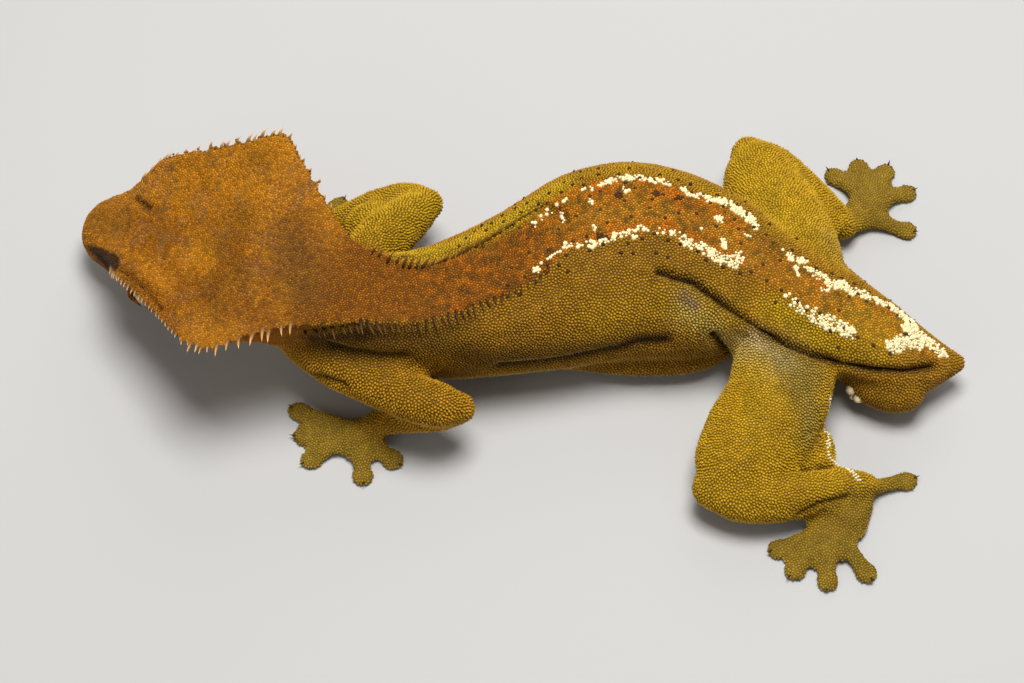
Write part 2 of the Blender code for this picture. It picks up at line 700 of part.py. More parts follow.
def face_cutters(skin):
    """What is taken out of the head: eye sockets, nostrils, ear pits and the mouth's line."""
    pieces = []
    for side in (1, -1):
        socket = (EYE_RADIUS + GAP,) * 3
        pieces.append(egg("socket", eye_centre(side), socket, segments=20, rings=12))
        for (back, high), half_sizes in (NOSTRIL, EAR_PIT):
            place = on_cheek(skin, side, back, high)
            pieces.append(egg("pit", place, half_sizes, segments=10, rings=6))
        stations = [(*point, MOUTH_DEPTH, MOUTH_DEPTH) for point in mouth_path(skin, side, 0.0)]
        pieces.append(tube("mouth", stations, sides=6, steps=1))
    return pieces


def crest_path(side):
    """The edge of the crest from the brow back: each point with the way its spines lean."""
    rows = []
    for back in np.linspace(BROW_START, HEAD_SECTIONS[-1][0], 12):
        section = section_at(back)
        edge = head_point(back, side * section[1], section[2] - 0.3)
        out = edge - head_point(back, 0.0, section[2] - 2.5)
        rows.append((*edge, *unit(out)))
    for near, far, _, _ in HOOD_SECTIONS:
        tip, other = (near, far) if side > 0 else (far, near)
        out = unit(np.array(tip) - np.array(other)) + (0.0, 0.0, 0.25)
        rows.append((*tip, *unit(out)))
    back_rows = CREST_BACK_LEFT if side > 0 else CREST_BACK_RIGHT
    for x, y, z, half in back_rows[1:]:
        rows.append((x, y, z + half, 0.0, -side * 0.55, 0.83))
    return smooth_rows(rows, 12)


def spine_places(skin, side):
    """Evenly spaced spines along the crest: root on the skin, lean and length."""
    path = crest_path(side)
    steps = np.linalg.norm(np.diff(path[:, :3], axis=0), axis=1)
    travelled = np.concatenate([[0.0], np.cumsum(steps)])
    shares, lengths = zip(*SPINE_LENGTHS)
    places = []
    for walked in np.arange(0.3, travelled[-1] - 0.5, SPINE_PITCH):
        row = np.array([np.interp(walked, travelled, column) for column in path.T])
        later = np.array([np.interp(walked + 0.5, travelled, column) for column in path.T[:3]])
        _, root, _, _ = skin.closest_point_on_mesh(Vector(row[:3]) * MM)
        lean = unit(unit(row[3:]) + SPINE_LEAN_BACK * unit(later - row[:3]))
        long = float(np.interp(walked / travelled[-1], shares, lengths))
        places.append((np.array(root) / MM, lean, long))
    return places


def thorn(root, lean, long):
    """A slender cone whose wide end is sunk in the skin."""
    sunk = 0.35
    bpy.ops.mesh.primitive_cone_add(
        vertices=SPINE_SIDES, radius1=SPINE_ROOT * MM, radius2=0.05 * MM, depth=(long + sunk) * MM)
    cone = bpy.context.object
    cone.name = "thorn"
    facing = Vector(lean).to_track_quat("Z", "Y").to_matrix().to_4x4()
    middle = np.array(root) + np.array(lean) * 0.5 * (long - sunk)
    cone.data.transform(Matrix.Translation(Vector(middle) * MM) @ facing)
    bpy.context.collection.objects.unlink(cone)
    return cone


def thorns(skin, rng):
    """The spines along both edges of the crest, and the spur beside the vent."""
    pieces = [thorn(*SPUR)]
    for side in (1, -1):
        for root, lean, long in spine_places(skin, side):
            pieces.append(thorn(root, lean, long * rng.uniform(0.85, 1.15)))
    return pieces


def trunk_pieces():
    """The trunk with the head, its crest, the folds and the swellings, still overlapping."""
    pieces = [head_and_hood(), trunk()]
    pieces += [egg(name, *BULGES[name]) for name in BULGES if not name.endswith("web")]
    folds = (SKIRT_LEFT, SKIRT_RIGHT, HIP_FOLD_LEFT, HIP_FOLD_RIGHT)
    pieces += [tube("fold", stations) for stations in folds]
    for ridge in (CREST_BACK_LEFT, CREST_BACK_RIGHT):
        pieces.append(tube("ridge", [(x, y, z, half, half) for x, y, z, half in ridge]))
    return pieces


def torso_and_head(guides):
    """The trunk and head as one body, with lips and the rims of the eyes."""
    plain = head_and_hood()
    guides.objects.link(plain)
    bpy.context.view_layer.update()
    details = [*lips(plain), eye_rim(plain, 1), eye_rim(plain, -1), orbit(1), orbit(-1)]
    bpy.data.objects.remove(plain)
    return fuse("trunk", trunk_pieces() + details, guides, TRUNK_TRIANGLES)


def limb(name, guides):
    """An arm or a leg without its paw, fused from its two long parts."""
    kind, side = name.split("_")
    upper, lower = (ARMS if kind == "arm" else LEGS)[side]
    pieces = [tube("upper", upper), tube("lower", lower)]
    if f"{name}_web" in BULGES:
        pieces.append(egg("web", *BULGES[f"{name}_web"]))
    return fuse(name, pieces, guides, LIMB_TRIANGLES)


def cut_by(body, pieces, guides):
    """Take a group of shapes out of the body in one cut."""
    group = bpy.data.collections.new(f"{body.name}_cutters")
    guides.children.link(group)
    for piece in pieces:
        group.objects.link(as_guide(piece))
    return boolean(body, group)


def floor_block():
    """A block whose top is the floor, which flattens whatever rests on it."""
    bpy.ops.mesh.primitive_cube_add(size=1.0)
    block = bpy.context.object
    block.name = "floor_block"
    block.data.transform(Matrix.Diagonal((0.2, 0.2, 0.02, 1.0)))
    block.data.transform(Matrix.Translation((0.0, 0.0, FLOOR_Z * MM - 0.01)))
    bpy.context.collection.objects.unlink(block)
    return block


def eyes(collection):
    for side, name in ((1, "eye_left"), (-1, "eye_right")):
        ball = egg(name, eye_centre(side), (EYE_RADIUS,) * 3, segments=20, rings=12)
        ball.data.name = name
        collection.objects.link(ball)


def paint(obj, material):
    obj.data.materials.clear()
    obj.data.materials.append(material)
    obj.data.shade_smooth()
    obj.data.set_sharp_from_angle(angle=math.radians(SHARP_ANGLE))


def principled(name, colour, roughness):
    material = bpy.data.materials.new(name)
    material.use_nodes = True
    shader = material.node_tree.nodes["Principled BSDF"]
    shader.inputs["Base Color"].default_value = (*colour, 1.0)
    shader.inputs["Roughness"].default_value = roughness
    shader.inputs["Metallic"].default_value = 0.0
    return material


def main():
    for leftover in list(bpy.data.objects):
        bpy.data.objects.remove(leftover)
    gecko = bpy.data.collections.new("crested_gecko")
    guides = bpy.data.collections.new("cutters")
    bpy.context.scene.collection.children.link(gecko)
    bpy.context.scene.collection.children.link(guides)
    rng = np.random.default_rng(SEED)

    body = torso_and_head(guides)
    body_clearance = swollen("body_clearance", body, GAP, guides)

    for name, paw_name in PAW_OF.items():
        arm = limb(name, guides)
        limb_clearance = swollen(f"{name}_clearance", arm, GAP, guides)
        boolean(arm, body_clearance)
        cut_by(arm, [floor_block(), blade(*LIMB_CUTS[name])], guides)
        name_parts(loose_parts(arm, gecko), NODE_MARKS[name])
        foot = fuse(paw_name, paw(paw_name), guides, PAW_TRIANGLES)
        boolean(foot, limb_clearance)
        cut_by(foot, [floor_block()], guides)
        name_parts(loose_parts(foot, gecko), {paw_name: PAWS[paw_name][0][0]})

    bpy.context.view_layer.update()
    face = face_cutters(body)
    group = bpy.data.collections.new("thorns")
    guides.children.link(group)
    for piece in thorns(body, rng):
        group.objects.link(as_guide(piece))
    boolean(body, group, "UNION")
    blades = [blade(*cut) for cut in TRUNK_CUTS]
    cut_by(body, [floor_block(), *blades, *face], guides)
    name_parts(loose_parts(body, gecko), NODE_MARKS["trunk"])
    eyes(gecko)

    skin = principled("ochre_skin", (0.42, 0.25, 0.05), 0.7)
    eye = principled("grey_gold_eye", (0.30, 0.24, 0.16), 0.15)
    for node in gecko.objects:
        paint(node, eye if node.name.startswith("eye") else skin)
        node.data.transform(Matrix.Translation((PLACE[0] * MM, PLACE[1] * MM, 0.0)))


if __name__ == "__main__":
    main()
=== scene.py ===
# %% [markdown]
# # A crested gecko, dressed over its solids
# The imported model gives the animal's true shape in twenty closed solids. This lesson puts a living
# surface on it: one skin with folds, tens of thousands of small scales, the spines of the crest,
# eyes, claws and toe pads. Every size is in millimetres until a mesh is written, in metres.

# %% Tools, the frame and its box
import json
import math

import bpy
import numpy as np
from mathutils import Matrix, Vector, noise
from mathutils.bvhtree import BVHTree
from mathutils.kdtree import KDTree

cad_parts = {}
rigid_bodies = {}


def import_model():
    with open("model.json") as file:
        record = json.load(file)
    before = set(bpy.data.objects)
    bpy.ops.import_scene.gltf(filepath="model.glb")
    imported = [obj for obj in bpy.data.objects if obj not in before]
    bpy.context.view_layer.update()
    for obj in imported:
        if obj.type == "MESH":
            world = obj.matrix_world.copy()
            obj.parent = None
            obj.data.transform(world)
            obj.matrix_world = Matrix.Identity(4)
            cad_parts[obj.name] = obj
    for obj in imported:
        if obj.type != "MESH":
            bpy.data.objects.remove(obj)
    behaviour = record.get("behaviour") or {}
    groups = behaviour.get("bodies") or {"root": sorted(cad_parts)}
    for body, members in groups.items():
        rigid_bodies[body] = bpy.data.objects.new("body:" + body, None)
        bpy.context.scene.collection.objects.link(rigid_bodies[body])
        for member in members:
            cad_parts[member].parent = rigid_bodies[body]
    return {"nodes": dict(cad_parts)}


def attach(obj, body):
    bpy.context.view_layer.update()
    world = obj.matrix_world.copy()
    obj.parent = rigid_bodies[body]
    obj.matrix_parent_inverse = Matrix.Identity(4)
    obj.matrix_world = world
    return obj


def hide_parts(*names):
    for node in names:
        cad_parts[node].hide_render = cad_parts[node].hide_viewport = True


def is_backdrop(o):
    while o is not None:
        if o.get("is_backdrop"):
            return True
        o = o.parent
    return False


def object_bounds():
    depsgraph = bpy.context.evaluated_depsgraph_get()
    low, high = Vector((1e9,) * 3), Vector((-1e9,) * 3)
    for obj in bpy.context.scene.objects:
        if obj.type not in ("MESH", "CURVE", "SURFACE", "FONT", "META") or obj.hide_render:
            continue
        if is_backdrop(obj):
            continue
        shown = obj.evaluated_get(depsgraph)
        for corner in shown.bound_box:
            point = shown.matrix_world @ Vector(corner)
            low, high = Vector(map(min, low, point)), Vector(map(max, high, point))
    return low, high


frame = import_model()
cad_low, cad_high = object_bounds()
MM = 0.001
draw = np.random.default_rng(5)
print("nodes:", len(frame["nodes"]), "box in mm:", [round(side / MM, 1) for side in cad_high - cad_low])

# %% [markdown]
# ## The camera
# The photograph looks down at sixty degrees from the animal's left. The camera comes first, because
# the marks of the skin are placed by where the photograph shows them: a line of sight through a
# point of the picture is followed until it meets the skin.

# %% The camera
PHOTO_WIDE, PHOTO_HIGH = 1024, 683
LENS, SENSOR = 100.0, 36.0
RISE = math.radians(60.0)
DISTANCE = 355.0
AIM = np.array((-1.1, 3.6, 0.0))
AHEAD = np.array((0.0, math.cos(RISE), -math.sin(RISE)))
UPWARD = np.array((0.0, math.sin(RISE), math.cos(RISE)))
STAND = AIM - DISTANCE * AHEAD

bpy.ops.object.select_all(action="DESELECT")
bpy.ops.object.camera_add(location=STAND * MM, rotation=(math.pi / 2 - RISE, 0.0, 0.0))
camera = bpy.context.object
camera.data.lens = LENS
camera.data.sensor_width = SENSOR
camera.data.clip_start = 0.01
bpy.context.scene.camera = camera
print("camera stands at", np.round(STAND, 1), "mm")


def sight(across, down):
    """The direction of the line of sight through one point of the photograph."""
    wide = (across - PHOTO_WIDE / 2) / PHOTO_WIDE * SENSOR
    high = (PHOTO_HIGH / 2 - down) / PHOTO_WIDE * SENSOR
    line = LENS * AHEAD + wide * np.array((1.0, 0.0, 0.0)) + high * UPWARD
    return line / np.linalg.norm(line)


# %% [markdown]
# ## Small helpers
# A modifier is added with its settings and applied at once, as a maker would do by hand. Points and
# normals are read from a mesh as tables, and a mesh is written from tables, because a coat of
# scales has far too many corners to be placed one by one.

# %% Helpers that select, add and apply
def only(obj=None):
    """Nothing is selected but this object."""
    bpy.ops.object.select_all(action="DESELECT")
    if obj:
        obj.select_set(True)
        bpy.context.view_layer.objects.active = obj


def modify(obj, kind, **settings):
    """One modifier, added with its settings and applied."""
    only(obj)
    modifier = obj.modifiers.new(kind.title(), kind)
    for name, value in settings.items():
        setattr(modifier, name, value)
    bpy.ops.object.modifier_apply(modifier=modifier.name)


def unit(vectors):
    vectors = np.asarray(vectors, dtype=float)
    return vectors / np.maximum(np.linalg.norm(vectors, axis=-1, keepdims=True), 1e-9)


def points_of(mesh):
    flat = np.empty(len(mesh.vertices) * 3)
    mesh.vertices.foreach_get("co", flat)
    return flat.reshape(-1, 3) / MM


def normals_of(mesh):
    flat = np.empty(len(mesh.vertices) * 3)
    mesh.vertex_normals.foreach_get("vector", flat)
    return flat.reshape(-1, 3)


def ramp(values, low, high):
    """Nought below low, one above high, and a soft rise between."""
    share = np.clip((values - low) / (high - low), 0.0, 1.0)
    return share * share * (3.0 - 2.0 * share)


def grain(points, size, seed=0.0):
    """Soft noise from -1 to 1 at each point, with lumps about `size` millimetres across."""
    return np.array([noise.noise(Vector(point) / size + Vector((seed, seed, seed))) for point in points])


# %% [markdown]
# ## The head's own frame
# The head is turned and tilted, so its parts are placed by how far back from the snout's tip they
# lie, how far to the side and how high. The same frame placed them in the solids.

# %% A point of the head
HEAD_MIDDLE = np.array((-32.4, 5.3, 21.3))
HEAD_FORWARD = unit((-0.890, 0.407, -0.203))
HEAD_LEFT = unit((-0.336, -0.923, -0.176))
HEAD_UP = np.cross(HEAD_FORWARD, HEAD_LEFT)
CORNER_BACK = 26.6
EYE_PLACE = (13.0, 6.2, -8.0)
EYE_RADIUS = 3.0


def head_point(back, side, height):
    return HEAD_MIDDLE + (CORNER_BACK - back) * HEAD_FORWARD + side * HEAD_LEFT + height * HEAD_UP


eye_middles = {side: head_point(EYE_PLACE[0], side * EYE_PLACE[1], EYE_PLACE[2]) for side in (1, -1)}
print("eyes at", {side: np.round(place, 1).tolist() for side, place in eye_middles.items()})

# %% The edges of the crest
EDGE_ON_HEAD = {
    1: ((6.4, 6.0, -5.1), (8.7, 7.2, -3.9), (10.2, 8.0, -3.0), (12.1, 8.7, -2.7), (14.0, 9.5, -2.5),
        (18.5, 11.7, -2.1), (22.8, 14.2, -1.1)),
    -1: ((6.4, 6.0, -5.1), (8.7, 7.5, -3.9), (10.2, 8.6, -3.0), (12.1, 9.6, -2.7), (14.0, 10.5, -2.5),
         (18.5, 12.4, -2.1), (22.8, 14.2, -1.1)),
}
HEAD_ROWS = len(EDGE_ON_HEAD[1])
EDGE_ON_HOOD = {
    1: ((-36.9, -8.6, 18.9), (-32.1, -6.8, 19.2), (-27.1, -5.6, 19.3), (-22.1, -5.1, 19.2), (-18.4, -4.7, 18.9),
        (-14.6, -4.3, 18.4)),
    -1: ((-27.9, 19.1, 23.8), (-26.4, 17.0, 23.1), (-24.4, 13.2, 21.8), (-22.0, 9.4, 20.6), (-19.1, 5.9, 19.5),
         (-15.3, 3.9, 18.8)),
}
EDGE_ON_BACK = {1: ((-9.1, -3.1, 17.8), (-2.6, -1.0, 17.5), (2.9, 2.7, 17.2)),
                -1: ((-9.1, 3.2, 18.4), (-2.6, 5.8, 17.7), (2.9, 10.2, 17.1))}
EDGE_RISE, BACK_LEAN = 0.25, (0.0, -0.55, 0.83)


def even(path, count, keys=3):
    """The same line with its points evenly spaced, as measured in its first `keys` columns."""
    path = np.array(path, dtype=float)
    walked = np.concatenate([[0.0], np.cumsum(np.linalg.norm(np.diff(path[:, :keys], axis=0), axis=1))])
    marks = np.linspace(0.0, walked[-1], count)
    return np.stack([np.interp(marks, walked, column) for column in path.T], axis=1)


def crest_edge(side):
    """Points down one edge of the crest, each with the way that leads out from it."""
    rise = np.array((0.0, 0.0, EDGE_RISE))
    rows = [(*head_point(back, side * half, height), *unit(side * HEAD_LEFT + rise))
            for back, half, height in EDGE_ON_HEAD[side]]
    for tip, other in zip(EDGE_ON_HOOD[side], EDGE_ON_HOOD[-side]):
        rows.append((*tip, *unit(unit(np.array(tip) - np.array(other)) + rise)))
    rows += [(*tip, 0.0, side * BACK_LEAN[1], BACK_LEAN[2]) for tip in EDGE_ON_BACK[side]]
    return np.array(rows)


print("crest corners at", [np.round(crest_edge(side)[HEAD_ROWS - 1, :3], 1).tolist() for side in (1, -1)])

# %% [markdown]
# ## One skin over every joint
# The solids are parted by thin cuts, and a real gecko has no seams. Modelling a second body from
# nothing could drift from the solids, so copies of the flesh nodes are joined, swollen until the
# cuts close, remeshed into one even surface, smoothed, and drawn in by the swelling and the depth
# of the scales. A ring round each eye is joined in first, for the lid. The solids' own spines are
# pressed back into the crest's edge, because finer ones are planted on it later.

# %% Copy and join the flesh
FLESH = sorted(name for name in frame["nodes"] if not name.startswith("eye"))
only()
for name in FLESH:
    frame["nodes"][name].select_set(True)
bpy.context.view_layer.objects.active = frame["nodes"][FLESH[0]]
bpy.ops.object.duplicate()
bpy.ops.object.parent_clear(type="CLEAR")
bpy.ops.object.join()
skin = bpy.context.object
skin.name = "skin"
for key in list(skin.keys()):
    del skin[key]
print("joined", len(FLESH), "copies,", len(skin.data.polygons), "faces")

# %% The lids
LID_RING, LID_THICK, LID_OUT = 2.75, 0.55, 1.15
for side in (1, -1):
    outward = Vector(HEAD_LEFT * side)
    bpy.ops.mesh.primitive_torus_add(
        major_radius=LID_RING * MM, minor_radius=LID_THICK * MM, major_segments=48, minor_segments=12,
        location=(eye_middles[side] + LID_OUT * np.array(outward)) * MM,
        rotation=outward.to_track_quat("Z", "Y").to_euler())
    lid = bpy.context.object
    skin.select_set(True)
    bpy.context.view_layer.objects.active = skin
    bpy.ops.object.join()
print("with lids:", len(skin.data.polygons), "faces")

# %% Swell, remesh, smooth and draw in
SWELL, COAT_DEPTH, VOXEL = 0.2, 0.2, 0.38
FAIRINGS, SHRINK, REGROW = 14, 0.5, -0.53
EDGE_STEPS, SPINE_REACH, SPINE_STUB = 160, 3.0, 0.3
only(skin)
bpy.ops.mesh.customdata_custom_splitnormals_clear()
bpy.ops.object.mode_set(mode="EDIT")
bpy.ops.mesh.select_all(action="SELECT")
bpy.ops.mesh.remove_doubles(threshold=0.01 * MM)
bpy.ops.object.mode_set(mode="OBJECT")
modify(skin, "DISPLACE", strength=SWELL * MM, mid_level=0.0)
modify(skin, "REMESH", mode="VOXEL", voxel_size=VOXEL * MM, use_smooth_shade=True)
pressed = points_of(skin.data)
for side in (1, -1):
    edge = even(crest_edge(side), EDGE_STEPS)
    for batch in np.array_split(np.arange(len(pressed)), max(1, len(pressed) // 8000)):
        offset = pressed[batch][:, None, :] - edge[None, :, :3]
        gap = np.linalg.norm(offset, axis=2)
        nearest = gap.argmin(axis=1)
        lead = edge[nearest, 3:]
        over = (offset[np.arange(len(batch)), nearest] * lead).sum(axis=1) - SPINE_STUB
        over = np.where(gap.min(axis=1) < SPINE_REACH, np.maximum(over, 0.0), 0.0)
        pressed[batch] -= lead * over[:, None]
skin.data.vertices.foreach_set("co", (pressed * MM).ravel())
modify(skin, "REMESH", mode="VOXEL", voxel_size=VOXEL * MM, use_smooth_shade=True)
before = len(skin.data.vertices)
bpy.ops.object.mode_set(mode="EDIT")
bpy.ops.mesh.select_all(action="DESELECT")
bpy.ops.object.mode_set(mode="OBJECT")
skin.data.vertices[int(points_of(skin.data)[:, 2].argmin())].select = True
bpy.ops.object.mode_set(mode="EDIT")
bpy.ops.mesh.select_linked()
bpy.ops.mesh.select_all(action="INVERT")
bpy.ops.mesh.delete(type="VERT")
bpy.ops.object.mode_set(mode="OBJECT")
print("loose points removed:", before - len(skin.data.vertices))
for _ in range(FAIRINGS):
    modify(skin, "SMOOTH", factor=SHRINK, iterations=1)
    modify(skin, "SMOOTH", factor=REGROW, iterations=1)
print("skin:", len(skin.data.polygons), "faces")

# %% Averaging over neighbours
edges = np.empty(len(skin.data.edges) * 2, dtype=np.int64)
skin.data.edges.foreach_get("vertices", edges)
edges = edges.reshape(-1, 2)


def softened(values, rounds):
    """Each point's value averaged with its neighbours', over and over."""
    values = np.array(values, dtype=float)
    ends = np.concatenate([edges[:, 0], edges[:, 1]])
    others = np.concatenate([edges[:, 1], edges[:, 0]])
    counts = np.bincount(ends, minlength=len(values))[:, None]
    flat = values.reshape(len(values), -1)
    for _ in range(rounds):
        sums = np.stack([np.bincount(ends, weights=column[others], minlength=len(flat)) for column in flat.T], axis=1)
        flat = 0.5 * flat + 0.5 * sums / counts
    return flat.reshape(values.shape)


print("edges:", len(edges))

# %% Draw the skin in, but less where it is thin
THIN_SHARE, THIN_ROUNDS, START_INSIDE = 0.3, 12, 0.05
swollen, outward = points_of(skin.data), normals_of(skin.data)
skin_faces = [tuple(polygon.vertices) for polygon in skin.data.polygons]
swollen_tree = BVHTree.FromPolygons([Vector(point) for point in swollen], skin_faces)
thickness = np.array([
    swollen_tree.ray_cast(Vector(point - START_INSIDE * normal), Vector(-normal))[3] or math.inf
    for point, normal in zip(swollen, outward)])
draw_in = softened(np.minimum(SWELL + COAT_DEPTH, THIN_SHARE * thickness), THIN_ROUNDS)
skin.data.vertices.foreach_set("co", ((swollen - outward * draw_in[:, None]) * MM).ravel())
skin.data.update()
modify(skin, "SMOOTH", factor=SHRINK, iterations=2)
print("drawn in by", round(float(draw_in.min()), 2), "to", round(float(draw_in.max()), 2), "mm")

# %% [markdown]
# ## Finding places on the skin
# A tree of the skin's faces answers two questions quickly: where does a line of sight meet the
# skin, and which point of the skin is nearest. Lines of the picture become lines on the animal.

# %% Places on the skin
skin_points = points_of(skin.data)
skin_normals = normals_of(skin.data)
skin_tree = BVHTree.FromPolygons([Vector(point) for point in skin_points], skin_faces)


def seen_at(across, down, fallback=None):
    """The point of the skin that the photograph shows at one of its points."""
    line = sight(across, down)
    hit = skin_tree.ray_cast(Vector(STAND), Vector(line))[0]
    if hit is None and fallback is not None:
        reach = float(np.dot(fallback - STAND, line))
        hit = skin_tree.find_nearest(Vector(STAND + reach * line))[0]
    return None if hit is None else np.array(hit)


def trace(*corners, step=3.0):
    """A line of the photograph, laid on the skin as a chain of points."""
    chain, last = [], None
    for start, end in zip(corners, corners[1:]):
        start, end = np.array(start, dtype=float), np.array(end, dtype=float)
        count = max(1, round(np.linalg.norm(end - start) / step))
        for share in np.arange(count) / count:
            point = seen_at(*(start + share * (end - start)), fallback=last)
            if point is not None:
                chain.append(point)
                last = point
    end_point = seen_at(*corners[-1], fallback=last)
    return np.array(chain + ([end_point] if end_point is not None else []))


def head_trace(*places):
    """A line given in the head's own frame, laid on the nearest skin."""
    places = [head_point(*place) for place in places]
    chain = []
    for start, end in zip(places, places[1:]):
        for share in np.linspace(0.0, 1.0, 9):
            chain.append(np.array(skin_tree.find_nearest(Vector(start + share * (end - start)))[0]))
    return np.array(chain)


def distance_to(path, points, reach):
    """How far each point is from a path. What lies past `reach` is given as `reach`."""
    gaps = np.full(len(points), float(reach))
    close = np.all((points > path.min(axis=0) - reach) & (points < path.max(axis=0) + reach), axis=1)
    rows = np.flatnonzero(close)
    for batch in np.array_split(rows, max(1, len(rows) // 4000)):
        if len(batch):
            between = points[batch][:, None, :] - path[None, :, :]
            gaps[batch] = np.minimum(np.sqrt((between ** 2).sum(axis=2)).min(axis=1), reach)
    return gaps


def touch(path, points, half_width):
    """One on the path, and fading out softly over its half width."""
    return np.exp(-(distance_to(path, points, 3.0 * half_width) / half_width) ** 2)


print("snout seen at", np.round(seen_at(95, 225), 1), "tail stub at", np.round(seen_at(950, 358), 1))

# %% [markdown]
# ## Folds and creases
# A sculptor would draw these with a brush. Each stroke here is a line on the skin with a half width
# and a height, and pushes the skin in or out along its normals with a soft edge.

# %% Strokes drawn on the skin
STROKES = (
    # the deep crease from the flank over the hip to the side of the tail, and the swell below it
    (trace((659, 272), (693, 283), (729, 309), (757, 330), (780, 341), (805, 351), (840, 365),
           (875, 371), (905, 372), (933, 367)), 0.55, -1.25),
    (trace((640, 290), (680, 296), (715, 318), (745, 345), (770, 358)), 1.6, 0.35),
    # the groove above the skirt of skin along the flank, and the skirt's pocket at the groin
    (trace((500, 366), (538, 363), (567, 359), (596, 353), (618, 349), (640, 342), (665, 341)), 1.0, -0.6),
    (trace((714, 334), (721, 345), (730, 356)), 0.55, -1.1),
    # the fold between thigh and shank, with the wrinkle above it
    (trace((803, 469), (816, 468), (832, 466)), 0.42, -0.95),
    (trace((806, 434), (824, 428)), 0.35, -0.35),
    (trace((800, 513), (822, 503), (846, 497)), 0.5, -0.6),
    # the folds where the near arm leaves the shoulder, and down the neck
    (trace((330, 345), (352, 352), (380, 356), (404, 356)), 0.8, -0.7),
    (trace((297, 372), (322, 376), (345, 384)), 0.6, -0.6),
    # the deep wrinkle and the folds on the far side of the snout
    (trace((136, 199), (142, 203), (149, 208)), 0.3, -0.7),
    (trace((130, 205), (139, 211), (149, 218)), 0.55, 0.22),
    (trace((126, 210), (129, 220), (127, 231)), 0.4, -0.22),
    (trace((197, 173), (201, 189), (208, 199)), 0.6, -0.28),
    (trace((95, 240), (108, 248), (121, 255)), 0.7, 0.3),
    # the brow's edge above the near eye, and the far brow
    (trace((119, 269), (130, 276), (143, 287), (154, 299), (160, 309)), 0.3, -0.45),
    (trace((130, 266), (146, 277), (162, 291)), 0.8, 0.2),
    (trace((150, 170), (170, 163), (192, 157)), 0.8, 0.4),
)
resting_points = skin_points.copy()
for path, half_width, height in STROKES:
    skin_points += skin_normals * (height * touch(path, skin_points, half_width))[:, None]
print("strokes:", len(STROKES))

# %% Toes, root and tip seen from above, and their broad pads
TOES = {
    "hand_left": (((-21.1, -9.4), (-28.3, -6.1)), ((-21.5, -9.8), (-27.7, -10.0)), ((-21.1, -10.6), (-26.5, -13.8)),
                  ((-19.7, -10.8), (-19.1, -16.6)), ((-18.9, -10.6), (-14.7, -14.0))),
    "hand_right": (((-26.7, 18.8), (-31.9, 15.0)), ((-27.1, 19.2), (-33.5, 19.2)), ((-26.9, 19.8), (-31.9, 23.6)),
                   ((-26.1, 20.0), (-27.5, 25.8)), ((-25.5, 19.8), (-22.7, 24.4))),
    "foot_left": (((37.1, -22.8), (29.7, -25.8)), ((36.7, -23.2), (31.9, -29.0)), ((36.9, -23.6), (36.3, -30.7)),
                  ((37.7, -23.4), (41.7, -29.4)), ((40.5, -18.0), (47.8, -15.8))),
    "foot_right": (((44.3, 23.6), (39.7, 28.8)), ((44.7, 24.0), (43.5, 30.4)), ((45.1, 24.0), (47.5, 29.6)),
                   ((45.1, 23.4), (50.7, 25.8)), ((43.5, 21.0), (50.3, 19.4))),
}
PAD_BACK, PAD_REACH, PAD_PUSH, PAD_TOP = 0.9, 1.2, 0.45, 3.0
pads = skin_points[:, 2] < PAD_TOP
for toes in TOES.values():
    for toe_root, toe_tip in toes:
        middle = np.array(toe_tip) - PAD_BACK * unit(np.array(toe_tip) - np.array(toe_root))
        gap = np.linalg.norm(skin_points[:, :2] - middle, axis=1)
        skin_points[:, :2] += skin_normals[:, :2] * (PAD_PUSH * pads * np.exp(-(gap / PAD_REACH) ** 4))[:, None]
skin_points = np.clip(skin_points, np.array(cad_low) / MM, np.array(cad_high) / MM)
print("pads widened:", sum(len(toes) for toes in TOES.values()))

# %% The mouth, nostrils and ear pits
MOUTH_ROWS = ((0.2, 0.6, -11.2), (1.0, 2.3, -11.6), (3.0, 3.9, -11.8), (6.0, 5.4, -12.1),
              (9.5, 6.8, -12.2), (13.5, 8.3, -12.2), (16.5, 9.3, -11.7), (18.5, 9.7, -11.0))
mouth_lines, nostrils, ears = [], [], []
for side in (1, -1):
    line = head_trace(*[(back, side * out, high) for back, out, high in MOUTH_ROWS])
    mouth_lines.append(line)
    nostrils.append(head_trace((1.6, side * 3.0, -9.6), (1.9, side * 3.2, -9.5)))
    ears.append(head_trace((24.4, side * 10.5, -10.0), (24.8, side * 10.5, -8.8)))
    skin_points += skin_normals * (-0.42 * touch(line, skin_points, 0.42))[:, None]
    skin_points += skin_normals * (-0.35 * touch(nostrils[-1], skin_points, 0.45))[:, None]
    skin_points += skin_normals * (-0.5 * touch(ears[-1], skin_points, 0.9))[:, None]
skin.data.vertices.foreach_set("co", (skin_points * MM).ravel())
skin.data.update()
skin_normals = normals_of(skin.data)
skin_tree = BVHTree.FromPolygons([Vector(point) for point in skin_points], skin_faces)
print("mouth line of", sum(len(line) for line in mouth_lines), "points")

# %% [markdown]
# ## Which part of the body each point belongs to
# Paint, scale size and the lie of the scales all change from part to part. Each point of the skin
# asks for the nearest node, and a few rounds of averaging with its neighbours then soften every
# border, so that no edge shows where one node ends and the next begins.

# %% Regions
REGIONS = sorted(FLESH)
node_tree = KDTree(sum(len(frame["nodes"][name].data.vertices) for name in REGIONS))
owners = []
for index, name in enumerate(REGIONS):
    for vertex in frame["nodes"][name].data.vertices:
        node_tree.insert(vertex.co / MM, len(owners))
        owners.append(index)
node_tree.balance()
skin_region = np.array([owners[node_tree.find(Vector(point))[1]] for point in skin_points])


def by_region(table, rounds=60):
    """One value a region, spread over the skin and softened at the borders."""
    return softened(np.array([table[name] for name in REGIONS], dtype=float)[skin_region], rounds)


print("points in each region:", dict(zip(REGIONS, np.bincount(skin_region).tolist())))

